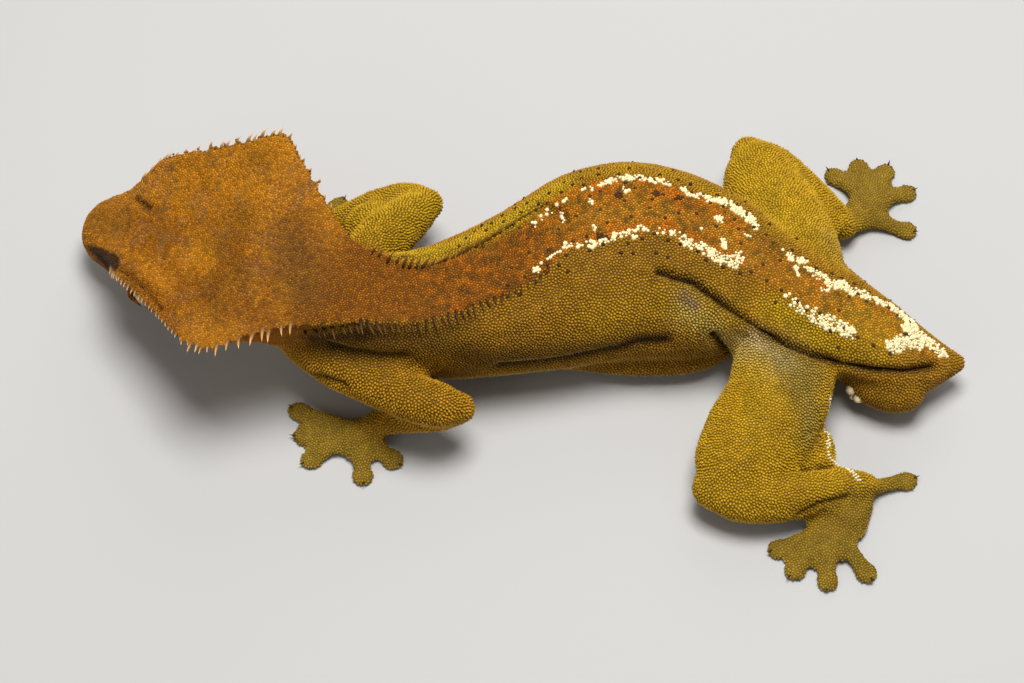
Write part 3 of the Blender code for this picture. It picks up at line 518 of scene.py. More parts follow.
# %% [markdown]
# ## The markings
# Skin and scales carry the same paint, so it is worked out once, on the skin, and each scale takes
# what lies at its root. The ground colour goes by region: rust on the head, olive on the flanks and
# mustard on the limbs. Then come the band down the back, mottling, blotches and painted shade in the folds.

# %% Paints and ground colours
PAINTS = {
    "rust": (0.31, 0.100, 0.003), "amber": (0.44, 0.175, 0.006), "bark": (0.14, 0.056, 0.004),
    "russet": (0.225, 0.073, 0.001), "orange": (0.46, 0.13, 0.002), "olive": (0.355, 0.171, 0.009),
    "bronze": (0.40, 0.18, 0.009), "ochre": (0.45, 0.225, 0.010), "mustard": (0.47, 0.27, 0.010), "moss": (0.27, 0.165, 0.014),
    "straw": (0.50, 0.36, 0.08), "slate": (0.26, 0.190, 0.045), "umber": (0.035, 0.014, 0.004),
    "cream": (0.86, 0.74, 0.42), "lilac": (0.26, 0.16, 0.12), "ash": (0.22, 0.105, 0.030),
    "pearl": (0.46, 0.40, 0.24), "tan": (0.56, 0.34, 0.14), "belly": (0.46, 0.32, 0.09), "green": (0.50, 0.31, 0.010),
}
PAINTS = {name: np.array(colour) for name, colour in PAINTS.items()}
GROUND = {
    "head": "rust", "neck": "olive", "chest": "olive", "abdomen": "olive", "pelvis": "olive",
    "tail_stub": "olive", "upper_arm_left": "ochre", "upper_arm_right": "mustard",
    "forearm_left": "ochre", "forearm_right": "mustard", "hand_left": "moss", "hand_right": "moss",
    "thigh_left": "mustard", "thigh_right": "mustard", "shank_left": "mustard",
    "shank_right": "mustard", "foot_left": "moss", "foot_right": "moss",
}
skin_paint = by_region({name: PAINTS[GROUND[name]] for name in REGIONS})


def brush(paint, strength):
    """Lay a paint over the skin, as strongly at each point as `strength` says."""
    strength = np.clip(strength, 0.0, 1.0)[:, None]
    skin_paint[:] = skin_paint * (1.0 - strength) + PAINTS[paint] * strength


print("ground colours:", sorted(set(GROUND.values())))

# %% The band down the back
BAND_NEAR = ((230, 345), (300, 330), (360, 323), (416, 321), (463, 311), (515, 290), (540, 275),
                  (567, 250), (600, 243), (634, 235), (662, 233), (690, 246), (725, 262), (745, 268),
                  (768, 283), (790, 298), (820, 318), (849, 332), (880, 347), (905, 353))
BAND_FAR = ((297, 140), (320, 178), (339, 207), (358, 227), (375, 245), (396, 261), (416, 267),
                 (444, 261), (463, 250), (488, 230), (530, 210), (569, 189), (603, 181), (634, 178),
                 (670, 184), (708, 199), (735, 211), (760, 232), (787, 252), (809, 269), (840, 283),
                 (874, 300), (904, 317), (924, 337))


def pictured(points):
    """Where the photograph shows each point."""
    offset = points - STAND
    depth = offset @ AHEAD
    across = PHOTO_WIDE / 2 + offset[:, 0] / depth * LENS / SENSOR * PHOTO_WIDE
    down = PHOTO_HIGH / 2 - (offset @ UPWARD) / depth * LENS / SENSOR * PHOTO_WIDE
    return np.column_stack([across, down])


BAND_STEPS, OFF_BAND, CREST_ENDS, EDGE_SCALE = 90, 4.0, 300.0, 25.0
HIDDEN_FROM, OVERHANG = 2.0, 1.0
near_edge, far_edge = even(BAND_NEAR, BAND_STEPS), even(BAND_FAR, BAND_STEPS)
band_middle, band_half = 0.5 * (near_edge + far_edge), 0.5 * (near_edge - far_edge)


def on_band(points, normals):
    """How far along the band each point is, and where across it: -1 and 1 at its edges."""
    along, across = np.zeros(len(points)), np.zeros(len(points))
    spots = pictured(points)
    for batch in np.array_split(np.arange(len(points)), max(1, len(points) // 8000)):
        gaps = ((spots[batch][:, None, :] - band_middle[None, :, :]) ** 2).sum(axis=2)
        nearest = gaps.argmin(axis=1)
        half = band_half[nearest]
        offset = spots[batch] - band_middle[nearest]
        across[batch] = (offset * half).sum(axis=1) / (half ** 2).sum(axis=1)
        along[batch] = nearest / (BAND_STEPS - 1)
        for edge, sign in ((near_edge, 1.0), (far_edge, -1.0)):
            nearest = ((spots[batch][:, None, :] - edge[None, :, :]) ** 2).sum(axis=2).argmin(axis=1)
            way = unit(np.gradient(edge, axis=0))[nearest]
            offset = spots[batch] - edge[nearest]
            out = sign * (offset[:, 1] * way[:, 0] - offset[:, 0] * way[:, 1])
            outside = (out > 0.0) & (spots[batch, 0] > CREST_ENDS)
            across[batch] = np.where(outside, sign * (1.0 + out / EDGE_SCALE), across[batch])
    across[normals @ AHEAD > -0.02] = OFF_BAND
    for row in np.flatnonzero(np.abs(across) < HIDDEN_FROM):
        line = points[row] - STAND
        if skin_tree.ray_cast(Vector(STAND), Vector(unit(line)), np.linalg.norm(line) - OVERHANG)[0] is not None:
            across[row] = OFF_BAND
    return along, across


skin_along, skin_across = on_band(skin_points, skin_normals)
band = 1.0 - ramp(np.abs(skin_across), 0.86, 1.1)
band *= 1.0 - by_region({name: float(not (name in ("head", "neck", "chest", "abdomen", "pelvis", "tail_stub")))
                         for name in REGIONS}, 8)
coarse, medium, fine = (grain(skin_points, size, seed) for size, seed in ((6.0, 3.1), (2.2, 8.7), (0.8, 1.3)))
cloudy = 0.45 * coarse + 0.75 * medium + 0.45 * fine
print("points on the band:", int((band > 0.5).sum()))

# %% Band, mottling and blotches
on_head = by_region({name: float(name == "head") for name in REGIONS}, 40)
up_facing = ramp(skin_normals[:, 2], -0.2, 0.35)
front = ramp(skin_along, 0.16, 0.3) * band
brush("russet", band * (1.0 - ramp(skin_along, 0.42, 0.55)))
brush("bronze", band * ramp(skin_along, 0.42, 0.55) * 0.8)
flecks = grain(skin_points, 1.1, 5.5)
by_edge = ramp(np.abs(skin_across), 0.05, 0.6)
brush("orange", band * ramp(skin_along, 0.40, 0.5) * by_edge * ramp(0.6 * medium + 0.9 * flecks, -0.3, 0.12)
      * (1.0 - ramp(skin_along, 0.68, 0.76)) * 0.9)
brush("orange", band * ramp(skin_along, 0.76, 0.8) * by_edge * ramp(medium + flecks, -0.1, 0.3) * 0.6
      * (1.0 - ramp(skin_along, 0.86, 0.92)))
brush("bark", band * ramp(skin_along, 0.3, 0.4) * ramp(-0.6 * medium - 0.8 * flecks, 0.1, 0.5) * 0.45)
brush("olive", band * ramp(skin_along, 0.62, 0.72) * 0.35)
from_middle = skin_points - HEAD_MIDDLE
to_snout, to_left, to_top = from_middle @ HEAD_FORWARD, from_middle @ HEAD_LEFT, from_middle @ HEAD_UP
brush("amber", on_head * up_facing * np.maximum(ramp(-to_left, -2.0, 7.0), ramp(to_snout, 14.0, 22.0)) * 0.6)
brush("bark", on_head * up_facing * ramp(cloudy, 0.1, 0.6) * 0.45)
brush("ash", on_head * up_facing * ramp(medium - 0.6 * coarse + 0.8 * fine, 0.1, 0.6) * 0.35)
brush("amber", on_head * up_facing * ramp(-cloudy, 0.05, 0.6) * 0.6)
brush("bark", on_head * up_facing * ramp(flecks, 0.25, 0.5) * 0.3)
brush("amber", front * ramp(-cloudy, 0.1, 0.6) * 0.5)
brush("bark", front * ramp(cloudy, 0.1, 0.6) * 0.4)
brush("orange", front * ramp(flecks - 0.4 * fine, 0.0, 0.35) * 0.45)
brush("bark", front * ramp(0.4 * fine - flecks, 0.05, 0.35) * 0.5)
print("mean paint", np.round(skin_paint.mean(axis=0), 3))

# %% [markdown]
# ## Marks placed from the photograph
# Each patch is one or more points of the picture with a half width on the animal. A long line does
# for a fold, two close points for a spot. Painted shade is laid in the sculpted folds, the mouth,
# nostrils and ear pits, and some umber patches are painted shade under the crest's near edge and on the lower flank.

# %% Patches, and painted shade in the folds
PATCHES = (
    ("bark", 0.6, 0.7, trace((148, 207), (158, 213))),
    ("bark", 0.6, 1.6, trace((255, 158), (262, 165))), ("bark", 0.55, 1.7, trace((238, 212), (246, 220))),
    ("bark", 0.6, 1.7, trace((216, 246), (224, 256))), ("bark", 0.6, 1.6, trace((238, 270), (244, 280))),
    ("bark", 0.5, 2.0, trace((212, 288), (218, 312))), ("bark", 0.5, 2.2, trace((286, 258), (296, 272))),
    ("amber", 0.6, 2.0, trace((190, 258), (206, 262))), ("amber", 0.6, 1.6, trace((150, 268), (165, 285))),
    ("amber", 0.5, 2.0, trace((250, 180), (262, 190))), ("amber", 0.5, 2.6, trace((200, 332), (240, 344))),
    ("amber", 0.5, 2.2, trace((262, 140), (292, 138))), ("bark", 0.4, 1.6, trace((100, 215), (120, 228))),
    # The four umber lines that follow are painted shade: the crest's shadow under its near edge on neck and shoulder,
    # then the lower flank.
    ("umber", 0.45, 2.2, trace((322, 342), (350, 346), (390, 346), (430, 346), (470, 350))),
    ("umber", 0.75, 1.2, trace((312, 338), (338, 337), (362, 334))),
    ("umber", 0.4, 1.0, trace((362, 334), (400, 335), (425, 334), (448, 329), (470, 321))),
    ("umber", 0.4, 2.0, trace((480, 360), (560, 352), (596, 345), (636, 336), (660, 332))),
    ("mustard", 0.5, 3.0, trace((600, 322), (640, 305), (670, 300), (700, 318))),
    ("straw", 0.75, 2.2, trace((690, 310), (710, 322), (732, 345))), ("mustard", 0.75, 1.9, trace((700, 292), (735, 318))),
    ("mustard", 0.8, 2.0, trace((768, 302), (795, 320), (830, 340), (870, 356))),
    ("green", 0.9, 1.7, trace((775, 308), (798, 322), (825, 338))), ("green", 0.6, 3.4, trace((745, 165), (790, 225))),
    ("green", 0.5, 3.0, trace((365, 205), (425, 205))), ("russet", 0.7, 2.6, trace((300, 225), (312, 290))),
    ("bark", 0.75, 2.8, trace((292, 235), (308, 292))),
    ("lilac", 0.55, 0.8, trace((684, 296), (694, 306))),
    ("pearl", 0.5, 1.5, trace((752, 340), (768, 350), (786, 362))), ("straw", 0.4, 1.8, trace((742, 352), (770, 372))),
    ("slate", 0.65, 2.0, trace((800, 385), (812, 410), (808, 432))), ("slate", 0.6, 2.2, trace((790, 352), (812, 372))),
    ("green", 0.5, 1.8, trace((760, 372), (757, 400), (750, 430))), ("bark", 0.3, 1.6, trace((800, 500), (840, 520))),
    ("bark", 0.35, 2.0, trace((770, 248), (780, 264))), ("amber", 0.6, 1.8, trace((768, 280), (800, 288))), ("mustard", 0.5, 3.0, trace((860, 325), (885, 340))),
    ("green", 1.0, 1.6, trace((404, 254), (433, 253), (462, 242), (489, 230), (515, 215), (540, 198), (562, 186))),
    ("mustard", 0.5, 1.6, trace((560, 180), (600, 171), (650, 169), (690, 180), (720, 196))),
    ("slate", 0.35, 2.0, trace((830, 240), (845, 262))),
)
for paint, strength, half_width, path in PATCHES:
    brush(paint, strength * touch(path, skin_points, half_width))
# Partly the snout's own dark brown scales and partly painted shade: umber on the side of the snout before the eye,
# copied to the far side, fading towards the lip.
LOREAL = np.array(((85, 243), (102, 247), (121, 256), (120, 268), (112, 276), (97, 260)), dtype=float)
LOREAL_EDGE = (-0.5, 2.5)
across_head = skin_points - 2.0 * to_left[:, None] * HEAD_LEFT
for side_points in (skin_points, across_head):
    spots = pictured(side_points)
    inside = np.full(len(spots), np.inf)
    for start, end in zip(LOREAL, np.roll(LOREAL, -1, axis=0)):
        way = unit(end - start)
        inside = np.minimum(inside, (spots - start) @ np.array((-way[1], way[0])))
    facing = (to_left > 0.0) if side_points is skin_points else (to_left < 0.0) * ramp(skin_normals @ AHEAD, -0.25, 0.0)
    brush("umber", 0.95 * on_head * facing * ramp(inside, *LOREAL_EDGE) * ramp(to_top, -11.3, -9.0))
# Painted shade in the creases: each sculpted fold, given by its stroke, is darkened along its line.
CREASE_SHADE = ((0, "umber", 0.95, 0.65), (2, "umber", 0.85, 0.9), (3, "umber", 0.95, 0.6), (4, "umber", 1.0, 0.36),
              (6, "umber", 0.6, 0.45), (7, "umber", 0.6, 0.8), (8, "umber", 0.6, 0.5), (9, "umber", 1.0, 0.34),
              (11, "bark", 0.6, 0.6), (14, "umber", 0.6, 0.26))
for stroke, paint, strength, half_width in CREASE_SHADE:
    brush(paint, strength * touch(STROKES[stroke][0], resting_points, half_width))
# Painted shade in the mouth's groove, the nostrils and the ear pits.
for line in mouth_lines + nostrils:
    brush("umber", 0.9 * touch(line, resting_points, 0.35))
for line in ears:
    brush("umber", 0.7 * touch(line, resting_points, 0.8))
under = 1.0 - ramp(skin_normals[:, 2], -0.75, -0.15)
above_jaw = on_head * ramp(to_top, -12.5, -9.0)
brush("belly", 0.8 * under * (1.0 - above_jaw))
skin_paint *= (1.0 + 0.16 * medium + 0.12 * fine)[:, None]
print("patches:", len(PATCHES))

# %% [markdown]
# ## Where the scales stand
# Granular scales sit side by side like pebbles, nearly in a honeycomb. Points thrown at random
# clump, so too-close ones are dropped first and the rest then push one another apart along the
# skin, until each has about the same room. The room it wants changes over the body: small on the
# head and toes, large on the belly.

# %% How far apart, how tall, and which way they lie
PITCH = {"head": 0.35, "neck": 0.38, "chest": 0.39, "abdomen": 0.39, "pelvis": 0.385, "tail_stub": 0.385,
         "upper_arm": 0.39, "forearm": 0.38, "hand": 0.36, "thigh": 0.385, "shank": 0.385, "foot": 0.36}
PEAK = {"head": 0.26, "neck": 0.50, "chest": 0.58, "abdomen": 0.58, "pelvis": 0.52, "tail_stub": 0.5,
        "upper_arm": 0.85, "forearm": 0.7, "hand": 0.35, "thigh": 0.75, "shank": 0.75, "foot": 0.35}
# How much painted shade darkens the feet of the scales, and the skin between them, on each part.
GAP_SHADE = {"head": 0.42, "neck": 0.85, "chest": 0.9, "abdomen": 0.9, "pelvis": 0.85, "tail_stub": 0.8,
        "upper_arm": 0.9, "forearm": 0.85, "hand": 0.65, "thigh": 0.75, "shank": 0.75, "foot": 0.65}
LIE = {"head": -HEAD_FORWARD, "neck": (1.0, -0.2, -0.1), "chest": (0.95, 0.3, -0.1), "abdomen": (1.0, 0.0, -0.1),
       "pelvis": (0.9, -0.35, -0.2), "tail_stub": (0.95, -0.2, -0.1), "upper_arm_left": (0.85, -0.5, -0.1),
       "upper_arm_right": (0.6, 0.8, -0.1), "forearm_left": (-0.9, 0.1, -0.4), "forearm_right": (-0.9, 0.1, -0.4),
       "hand_left": (-1.0, 0.0, -0.1), "hand_right": (-1.0, 0.1, -0.1), "thigh_left": (-0.4, -0.9, -0.1),
       "thigh_right": (-0.2, 0.95, -0.1), "shank_left": (0.98, 0.1, -0.2), "shank_right": (0.7, -0.6, -0.3),
       "foot_left": (0.1, -1.0, 0.0), "foot_right": (0.3, 0.95, 0.0)}
kind_of = {name: name.replace("_left", "").replace("_right", "") for name in REGIONS}
skin_pitch = by_region({name: PITCH[kind_of[name]] for name in REGIONS})
skin_pitch *= (1.0 + 0.5 * under) * (1.0 - 0.08 * band * (1.0 - on_head))
skin_gap_shade = by_region({name: GAP_SHADE[kind_of[name]] for name in REGIONS}) * (1.0 - 0.2 * band * (1.0 - on_head))
skin_peak = by_region({name: PEAK[kind_of[name]] for name in REGIONS}) * (1.0 - 0.45 * under)
skin_peak *= 1.0 - 0.3 * band * (1.0 - on_head)
skin_lie = by_region({name: unit(LIE[name]) for name in REGIONS}, 80)
print("pitch from", round(skin_pitch.min(), 2), "to", round(skin_pitch.max(), 2), "mm")

# %% Throw points and drop those that are too close
CROWDING = 0.70
triangles = np.array([(a, b, c) for a, b, c, d in (f for f in skin_faces if len(f) == 4)]
                     + [(a, c, d) for a, b, c, d in (f for f in skin_faces if len(f) == 4)]
                     + [f for f in skin_faces if len(f) == 3])
corners = skin_points[triangles]
areas = 0.5 * np.linalg.norm(np.cross(corners[:, 1] - corners[:, 0], corners[:, 2] - corners[:, 0]), axis=1)
room = skin_pitch[triangles].mean(axis=1) ** 2
wanted = int(1.1547 * (areas / room).sum())
THROWS = 5
picked = draw.choice(len(triangles), size=THROWS * wanted, p=(areas / room) / (areas / room).sum())
shares = draw.dirichlet((1.0, 1.0, 1.0), size=len(picked))
thrown = (corners[picked] * shares[:, :, None]).sum(axis=1)
thrown_pitch = (skin_pitch[triangles[picked]] * shares).sum(axis=1)


def thinned(points, pitches):
    """The points that keep their distance, taken in order."""
    cell = float(pitches.max()) * CROWDING
    boxes, kept = {}, []
    keys = np.floor(points / cell).astype(int).tolist()
    rows, limits = points.tolist(), (CROWDING * pitches) ** 2
    around = [(i, j, k) for i in (-1, 0, 1) for j in (-1, 0, 1) for k in (-1, 0, 1)]
    for index, (x, y, z) in enumerate(rows):
        i, j, k = keys[index]
        limit, free = limits[index], True
        for di, dj, dk in around:
            for other in boxes.get((i + di, j + dj, k + dk), ()):
                if (other[0] - x) ** 2 + (other[1] - y) ** 2 + (other[2] - z) ** 2 < limit:
                    free = False
                    break
            if not free:
                break
        if free:
            boxes.setdefault((i, j, k), []).append((x, y, z))
            kept.append(index)
    return np.array(kept)


kept = thinned(thrown, thrown_pitch)
roots = thrown[kept]
print("wanted", wanted, "thrown", len(thrown), "kept", len(roots))

# %% Let them push one another apart
ROUNDS = 9
NEIGHBOURS = 8
vertex_tree = KDTree(len(skin_points))
for index, point in enumerate(skin_points):
    vertex_tree.insert(point, index)
vertex_tree.balance()


def under_root(points):
    """The skin's nearest point for each place."""
    return np.array([vertex_tree.find(point)[1] for point in points])


for _ in range(ROUNDS):
    tree = KDTree(len(roots))
    for index, point in enumerate(roots):
        tree.insert(point, index)
    tree.balance()
    beside = np.array([[found[1] for found in tree.find_n(point, NEIGHBOURS)][1:] for point in roots])
    pitch_here = skin_pitch[under_root(roots)]
    apart = roots[:, None, :] - roots[beside]
    gap = np.linalg.norm(apart, axis=2)
    push = np.maximum(0.0, 1.06 * pitch_here[:, None] - gap)
    moved = roots + 0.45 * (apart / np.maximum(gap, 1e-6)[:, :, None] * push[:, :, None]).sum(axis=1)
    roots = np.array([skin_tree.find_nearest(Vector(point))[0] for point in moved])
print("spaced", len(roots), "scales in", ROUNDS, "rounds, mean gap", round(float(gap[:, 0].mean()), 3), "mm")

# %% [markdown]
# ## One scale, modelled by hand and copied
# A scale is a low pebble with six sides: a ring set into the skin, a smaller ring above it, and a
# crown a little behind the middle, because scales point towards the tail. It is modelled once, by
# extruding and shrinking a ring, and every copy is turned to the skin and to the lie of its part.

# %% Grow a form from a ring
def grown(name, sides, rings, tip):
    """Extrude a ring through the given (radius, height, shift) rows and close both ends."""
    only()
    radius, height, shift = rings[0]
    bpy.ops.mesh.primitive_circle_add(vertices=sides, radius=radius, location=(shift, 0.0, height), fill_type="NGON")
    form = bpy.context.object
    form.name = name
    bpy.ops.object.transform_apply(location=True)
    bpy.ops.object.mode_set(mode="EDIT")
    bpy.ops.mesh.select_all(action="SELECT")
    for (narrow, low, back), (wide, high, forth) in zip(rings, rings[1:]):
        bpy.ops.mesh.extrude_region_move(TRANSFORM_OT_translate={"value": (forth - back, 0.0, high - low)})
        bpy.ops.transform.resize(value=(wide / narrow,) * 3, center_override=(forth, 0.0, high))
    height, shift = tip
    bpy.ops.mesh.extrude_region_move(TRANSFORM_OT_translate={"value": (shift - rings[-1][2], 0.0, height - rings[-1][1])})
    bpy.ops.mesh.merge(type="CENTER")
    bpy.ops.mesh.select_all(action="SELECT")
    bpy.ops.mesh.normals_make_consistent(inside=False)
    bpy.ops.object.mode_set(mode="OBJECT")
    mesh = form.data
    pattern = {
        "points": np.array([vertex.co[:] for vertex in mesh.vertices]),
        "loops": np.array([loop.vertex_index for loop in mesh.loops]),
        "starts": np.array([polygon.loop_start for polygon in mesh.polygons]),
        "sizes": np.array([polygon.loop_total for polygon in mesh.polygons]),
    }
    bpy.data.objects.remove(form)
    print(name, "has", len(pattern["points"]), "points and", len(pattern["starts"]), "faces")
    return pattern


SCALE = grown("scale", 6, ((0.50, -0.30, 0.0), (0.34, 0.50, 0.08)), (1.0, 0.26))
CREAM_SCALE = grown("cream_scale", 7, ((0.52, -0.3, 0.0), (0.48, 0.3, 0.0), (0.34, 0.75, 0.04)), (0.95, 0.08))

# %% [markdown]
# ## Copies joined into one mesh
# Blender's object duplicates would be slow for forty thousand scales, so the copies are worked out
# as one table of corners and written as one mesh. Every corner also carries its paint, and every
# scale has its own small patch of the OFBake map, laid where its root lies when the part is
# unrolled round its long axis.

# %% Copy, paint and unroll
PATCH = 0.003


def write_mesh(name, points, loops, starts, paint, lift, places):
    """A mesh object from tables, with its paint, its painted shade and its bake map."""
    mesh = bpy.data.meshes.new(name)
    mesh.vertices.add(len(points))
    mesh.vertices.foreach_set("co", (points * MM).ravel())
    mesh.loops.add(len(loops))
    mesh.loops.foreach_set("vertex_index", loops.astype(np.int32))
    mesh.polygons.add(len(starts))
    mesh.polygons.foreach_set("loop_start", starts.astype(np.int32))
    mesh.update(calc_edges=True)
    mesh.shade_smooth()
    add_paint(mesh, paint, lift)
    if places is not None:
        layer = mesh.uv_layers.new(name="OFBake")
        layer.uv.foreach_set("vector", places.astype(np.float32).ravel())
    obj = bpy.data.objects.new(name, mesh)
    bpy.context.scene.collection.objects.link(obj)
    return obj


def add_paint(mesh, paint, lift):
    """Paint, and how much of its brightness each corner keeps under the painted shade, from nought to one."""
    colour = mesh.attributes.new("paint", "FLOAT_COLOR", "POINT")
    colour.data.foreach_set("color", np.column_stack([np.clip(paint, 0.0, 1.0), np.ones(len(paint))]).astype(np.float32).ravel())
    height = mesh.attributes.new("lift", "FLOAT", "POINT")
    height.data.foreach_set("value", np.asarray(lift, dtype=np.float32))


def unrolled(points):
    """Where points lie on a map when their part is unrolled round its long axis."""
    offset = points - points.mean(axis=0)
    wide, deep, along = (offset @ np.linalg.eigh(offset.T @ offset)[1]).T
    places = np.column_stack([np.arctan2(wide, deep), along])
    places = (places - places.min(axis=0)) / np.ptp(places, axis=0)
    return 0.01 + 0.98 * places


def copies(name, pattern, places, normals, lies, widths, heights, paint, stretch=1.0, gaps=1.0):
    """Copies of a pattern, one at each place, in one mesh. `gaps` says how much painted shade darkens their feet."""
    normals = unit(normals)
    back = unit(lies - (lies * normals).sum(axis=1, keepdims=True) * normals)
    side = np.cross(normals, back)
    form = pattern["points"]
    corners = places[:, None, :] + back[:, None, :] * (form[None, :, :1] * widths[:, None, None] * stretch)
    corners = corners + side[:, None, :] * (form[None, :, 1:2] * widths[:, None, None])
    corners = corners + normals[:, None, :] * (form[None, :, 2:] * heights[:, None, None])
    corners = np.clip(corners, np.array(cad_low) / MM, np.array(cad_high) / MM)
    count, size, held = len(places), len(form), len(pattern["loops"])
    shift = np.arange(count)[:, None]
    loops = (pattern["loops"][None, :] + size * shift).ravel()
    starts = (pattern["starts"][None, :] + held * shift).ravel()
    # Painted shade: each copy is darker towards its foot, as much as `gaps` says.
    dark = np.broadcast_to(gaps, (count,))[:, None] * (1.0 - np.clip(form[:, 2], 0.0, 1.0))[None, :]
    lift = (1.0 - dark).ravel()
    flat = form[pattern["loops"], :2] * PATCH
    floor_loops = np.repeat(pattern["sizes"] == pattern["sizes"].max(), pattern["sizes"])
    flat[floor_loops] = flat[floor_loops] * 0.15 + 0.5 * PATCH
    on_map = (unrolled(places)[:, None, :] + flat[None, :, :]).reshape(-1, 2)
    return write_mesh(name, corners.reshape(-1, 3), loops, starts, np.repeat(paint, size, axis=0), lift, on_map)


print("one patch of the map is", PATCH, "across")

# %% [markdown]
# ## Choosing the scales
# No scale grows over the eyes or in the line of the mouth. Some are special: cream ones in broken
# lines along both edges of the band, larger dark ones in loose rows outside those lines, and white
# ones on the edge of skin behind the thigh.

# %% Root by root
LABIAL_ROOM = 0.85
root_vertex = under_root(roots)
root_normal = skin_normals[root_vertex]
root_region = skin_region[root_vertex]
root_paint = skin_paint[root_vertex].copy()
root_pitch = skin_pitch[root_vertex].copy()
root_peak = skin_peak[root_vertex].copy()
root_gap_shade = skin_gap_shade[root_vertex]
root_lie = skin_lie[root_vertex]
free = np.ones(len(roots), dtype=bool)
for side in (1, -1):
    free &= np.linalg.norm(roots - eye_middles[side], axis=1) > EYE_RADIUS + 0.28
for line in mouth_lines:
    free &= distance_to(line, roots, 2.0) > LABIAL_ROOM
for line in nostrils:
    free &= distance_to(line, roots, 1.0) > 0.3
for line in ears:
    free &= distance_to(line, roots, 2.0) > 0.7
print("scales left out:", int((~free).sum()))

# %% Cream and dark scales
CREAM_LINES = (
    (0.42, 0.75, trace((533, 224), (547, 215), (560, 203), (579, 192), (592, 188), (603, 184))),
    (0.50, 0.25, trace((603, 184), (616, 179), (634, 178), (653, 180), (670, 184))),
    (0.45, 0.45, trace((682, 189), (693, 195), (708, 199), (720, 201))),
    (0.62, 0.12, trace((718, 200), (729, 205), (738, 211), (749, 217), (755, 227))),
    (0.45, 0.55, trace((536, 270), (548, 262), (567, 247), (587, 244), (601, 243))),
    (0.50, 0.25, trace((601, 243), (610, 238), (620, 235), (634, 234), (644, 228))),
    (0.50, 0.25, trace((661, 232), (678, 234), (686, 241), (692, 246), (703, 248), (716, 256))),
    (0.62, 0.12, trace((713, 254), (725, 261), (733, 263), (739, 257))),
    (0.50, 0.28, trace((787, 252), (794, 259), (803, 261), (812, 271))),
    (0.58, 0.2, trace((812, 271), (826, 281), (833, 286), (842, 283), (851, 291), (863, 294))),
    (0.55, 0.25, trace((863, 294), (875, 300), (886, 305), (897, 311))),
    (0.75, 0.08, trace((893, 309), (904, 317), (911, 323), (906, 329), (918, 332), (924, 338))),
    (0.50, 0.25, trace((790, 297), (796, 304), (803, 310), (811, 309), (813, 318))),
    (0.75, 0.08, trace((822, 319), (832, 325), (842, 328), (850, 332))),
    (0.95, 0.05, trace((894, 346), (906, 343), (917, 342))), (0.8, 0.1, trace((930, 344), (941, 352))),
    (0.35, 0.1, trace((823, 289), (827, 290))), (0.38, 0.1, trace((718, 217), (721, 222))),
    (0.3, 0.1, trace((745, 234), (748, 237))), (0.3, 0.1, trace((723, 240), (725, 246))),
    (0.3, 0.1, trace((795, 267), (798, 275))), (0.32, 0.1, trace((562, 214), (563, 221))),
    (0.28, 0.1, trace((533, 223), (535, 226))), (0.28, 0.1, trace((589, 201), (592, 203))),
    (0.28, 0.1, trace((623, 188), (627, 191))), (0.28, 0.1, trace((697, 226), (700, 229))),
    (0.28, 0.1, trace((642, 226), (645, 229))), (0.28, 0.1, trace((593, 226), (595, 229))),
)
speckle = draw.random(len(roots))
root_band = on_band(roots, root_normal)
cream = np.zeros(len(roots), dtype=bool)
for half_width, gaps_share, path in CREAM_LINES:
    ragged = half_width * (0.8 + 0.55 * draw.random(len(roots)))
    cream |= (distance_to(path, roots, 2.0) < ragged) & (speckle > gaps_share) & (root_normal[:, 2] > 0.0)
edge_gap = np.abs(np.abs(root_band[1]) - 1.08)
rows = (root_band[0] > 0.33) & (root_band[0] < 0.985) & (edge_gap < 0.2) & (speckle < 0.4)
rows |= (root_band[0] > 0.35) & (root_band[0] < 0.98) & (np.abs(root_band[1]) < 1.9) & (speckle > 0.98)
rows &= ~cream & (root_normal[:, 2] > 0.15)
rows &= np.isin(np.array(REGIONS)[root_region], ("neck", "chest", "abdomen", "pelvis", "tail_stub"))
DARK_APART = 1.9
alone = np.flatnonzero(rows)[thinned(roots[rows], np.full(int(rows.sum()), DARK_APART))]
rows[:] = False
rows[alone] = True
BIG_DARK = ((619, 196), (655, 194), (679, 198), (606, 240), (600, 236), (923, 337), (907, 334))
dark = rows.copy()
for spot in BIG_DARK:
    dark |= (np.linalg.norm(roots - seen_at(*spot), axis=1) < 0.5) & ~cream
print("cream scales:", int(cream.sum()), "dark scales:", int(dark.sum()))

# %% Colours and sizes of the scales
tint = 1.0 + (0.10 + 0.03 * on_head + 0.16 * band)[root_vertex] * draw.standard_normal(len(roots))
root_paint *= np.clip(tint, 0.6, 1.4)[:, None]
root_paint[dark] = PAINTS["umber"] * (1.4 + draw.random((int(dark.sum()), 1)))
root_pitch[dark] *= 1.35
root_peak[dark] *= 1.1
LIP_WHITE = trace((829, 398), (829, 415), (829, 432), (828, 448), (829, 458), (838, 462), (850, 471), (860, 481))
white_edge = distance_to(LIP_WHITE, roots, 1.0) < 0.27
root_paint[white_edge] = PAINTS["cream"] * 0.95
MOST_IN_A_PIECE = 8000
root_width = root_pitch * 1.1
root_height = root_pitch * root_peak * (1.0 + 0.12 * draw.standard_normal(len(roots)))
groups = {
    "scales_head_top": ("head", 1), "scales_head_under": ("head", -1), "scales_neck_chest": ("neck chest", 0),
    "scales_abdomen": ("abdomen", 0), "scales_hips_tail": ("pelvis tail_stub", 0),
    "scales_arms": ("upper_arm_left upper_arm_right forearm_left forearm_right hand_left hand_right", 0),
    "scales_legs": ("thigh_left thigh_right shank_left shank_right foot_left foot_right", 0),
}
region_names = np.array(REGIONS)[root_region]
coat = {}
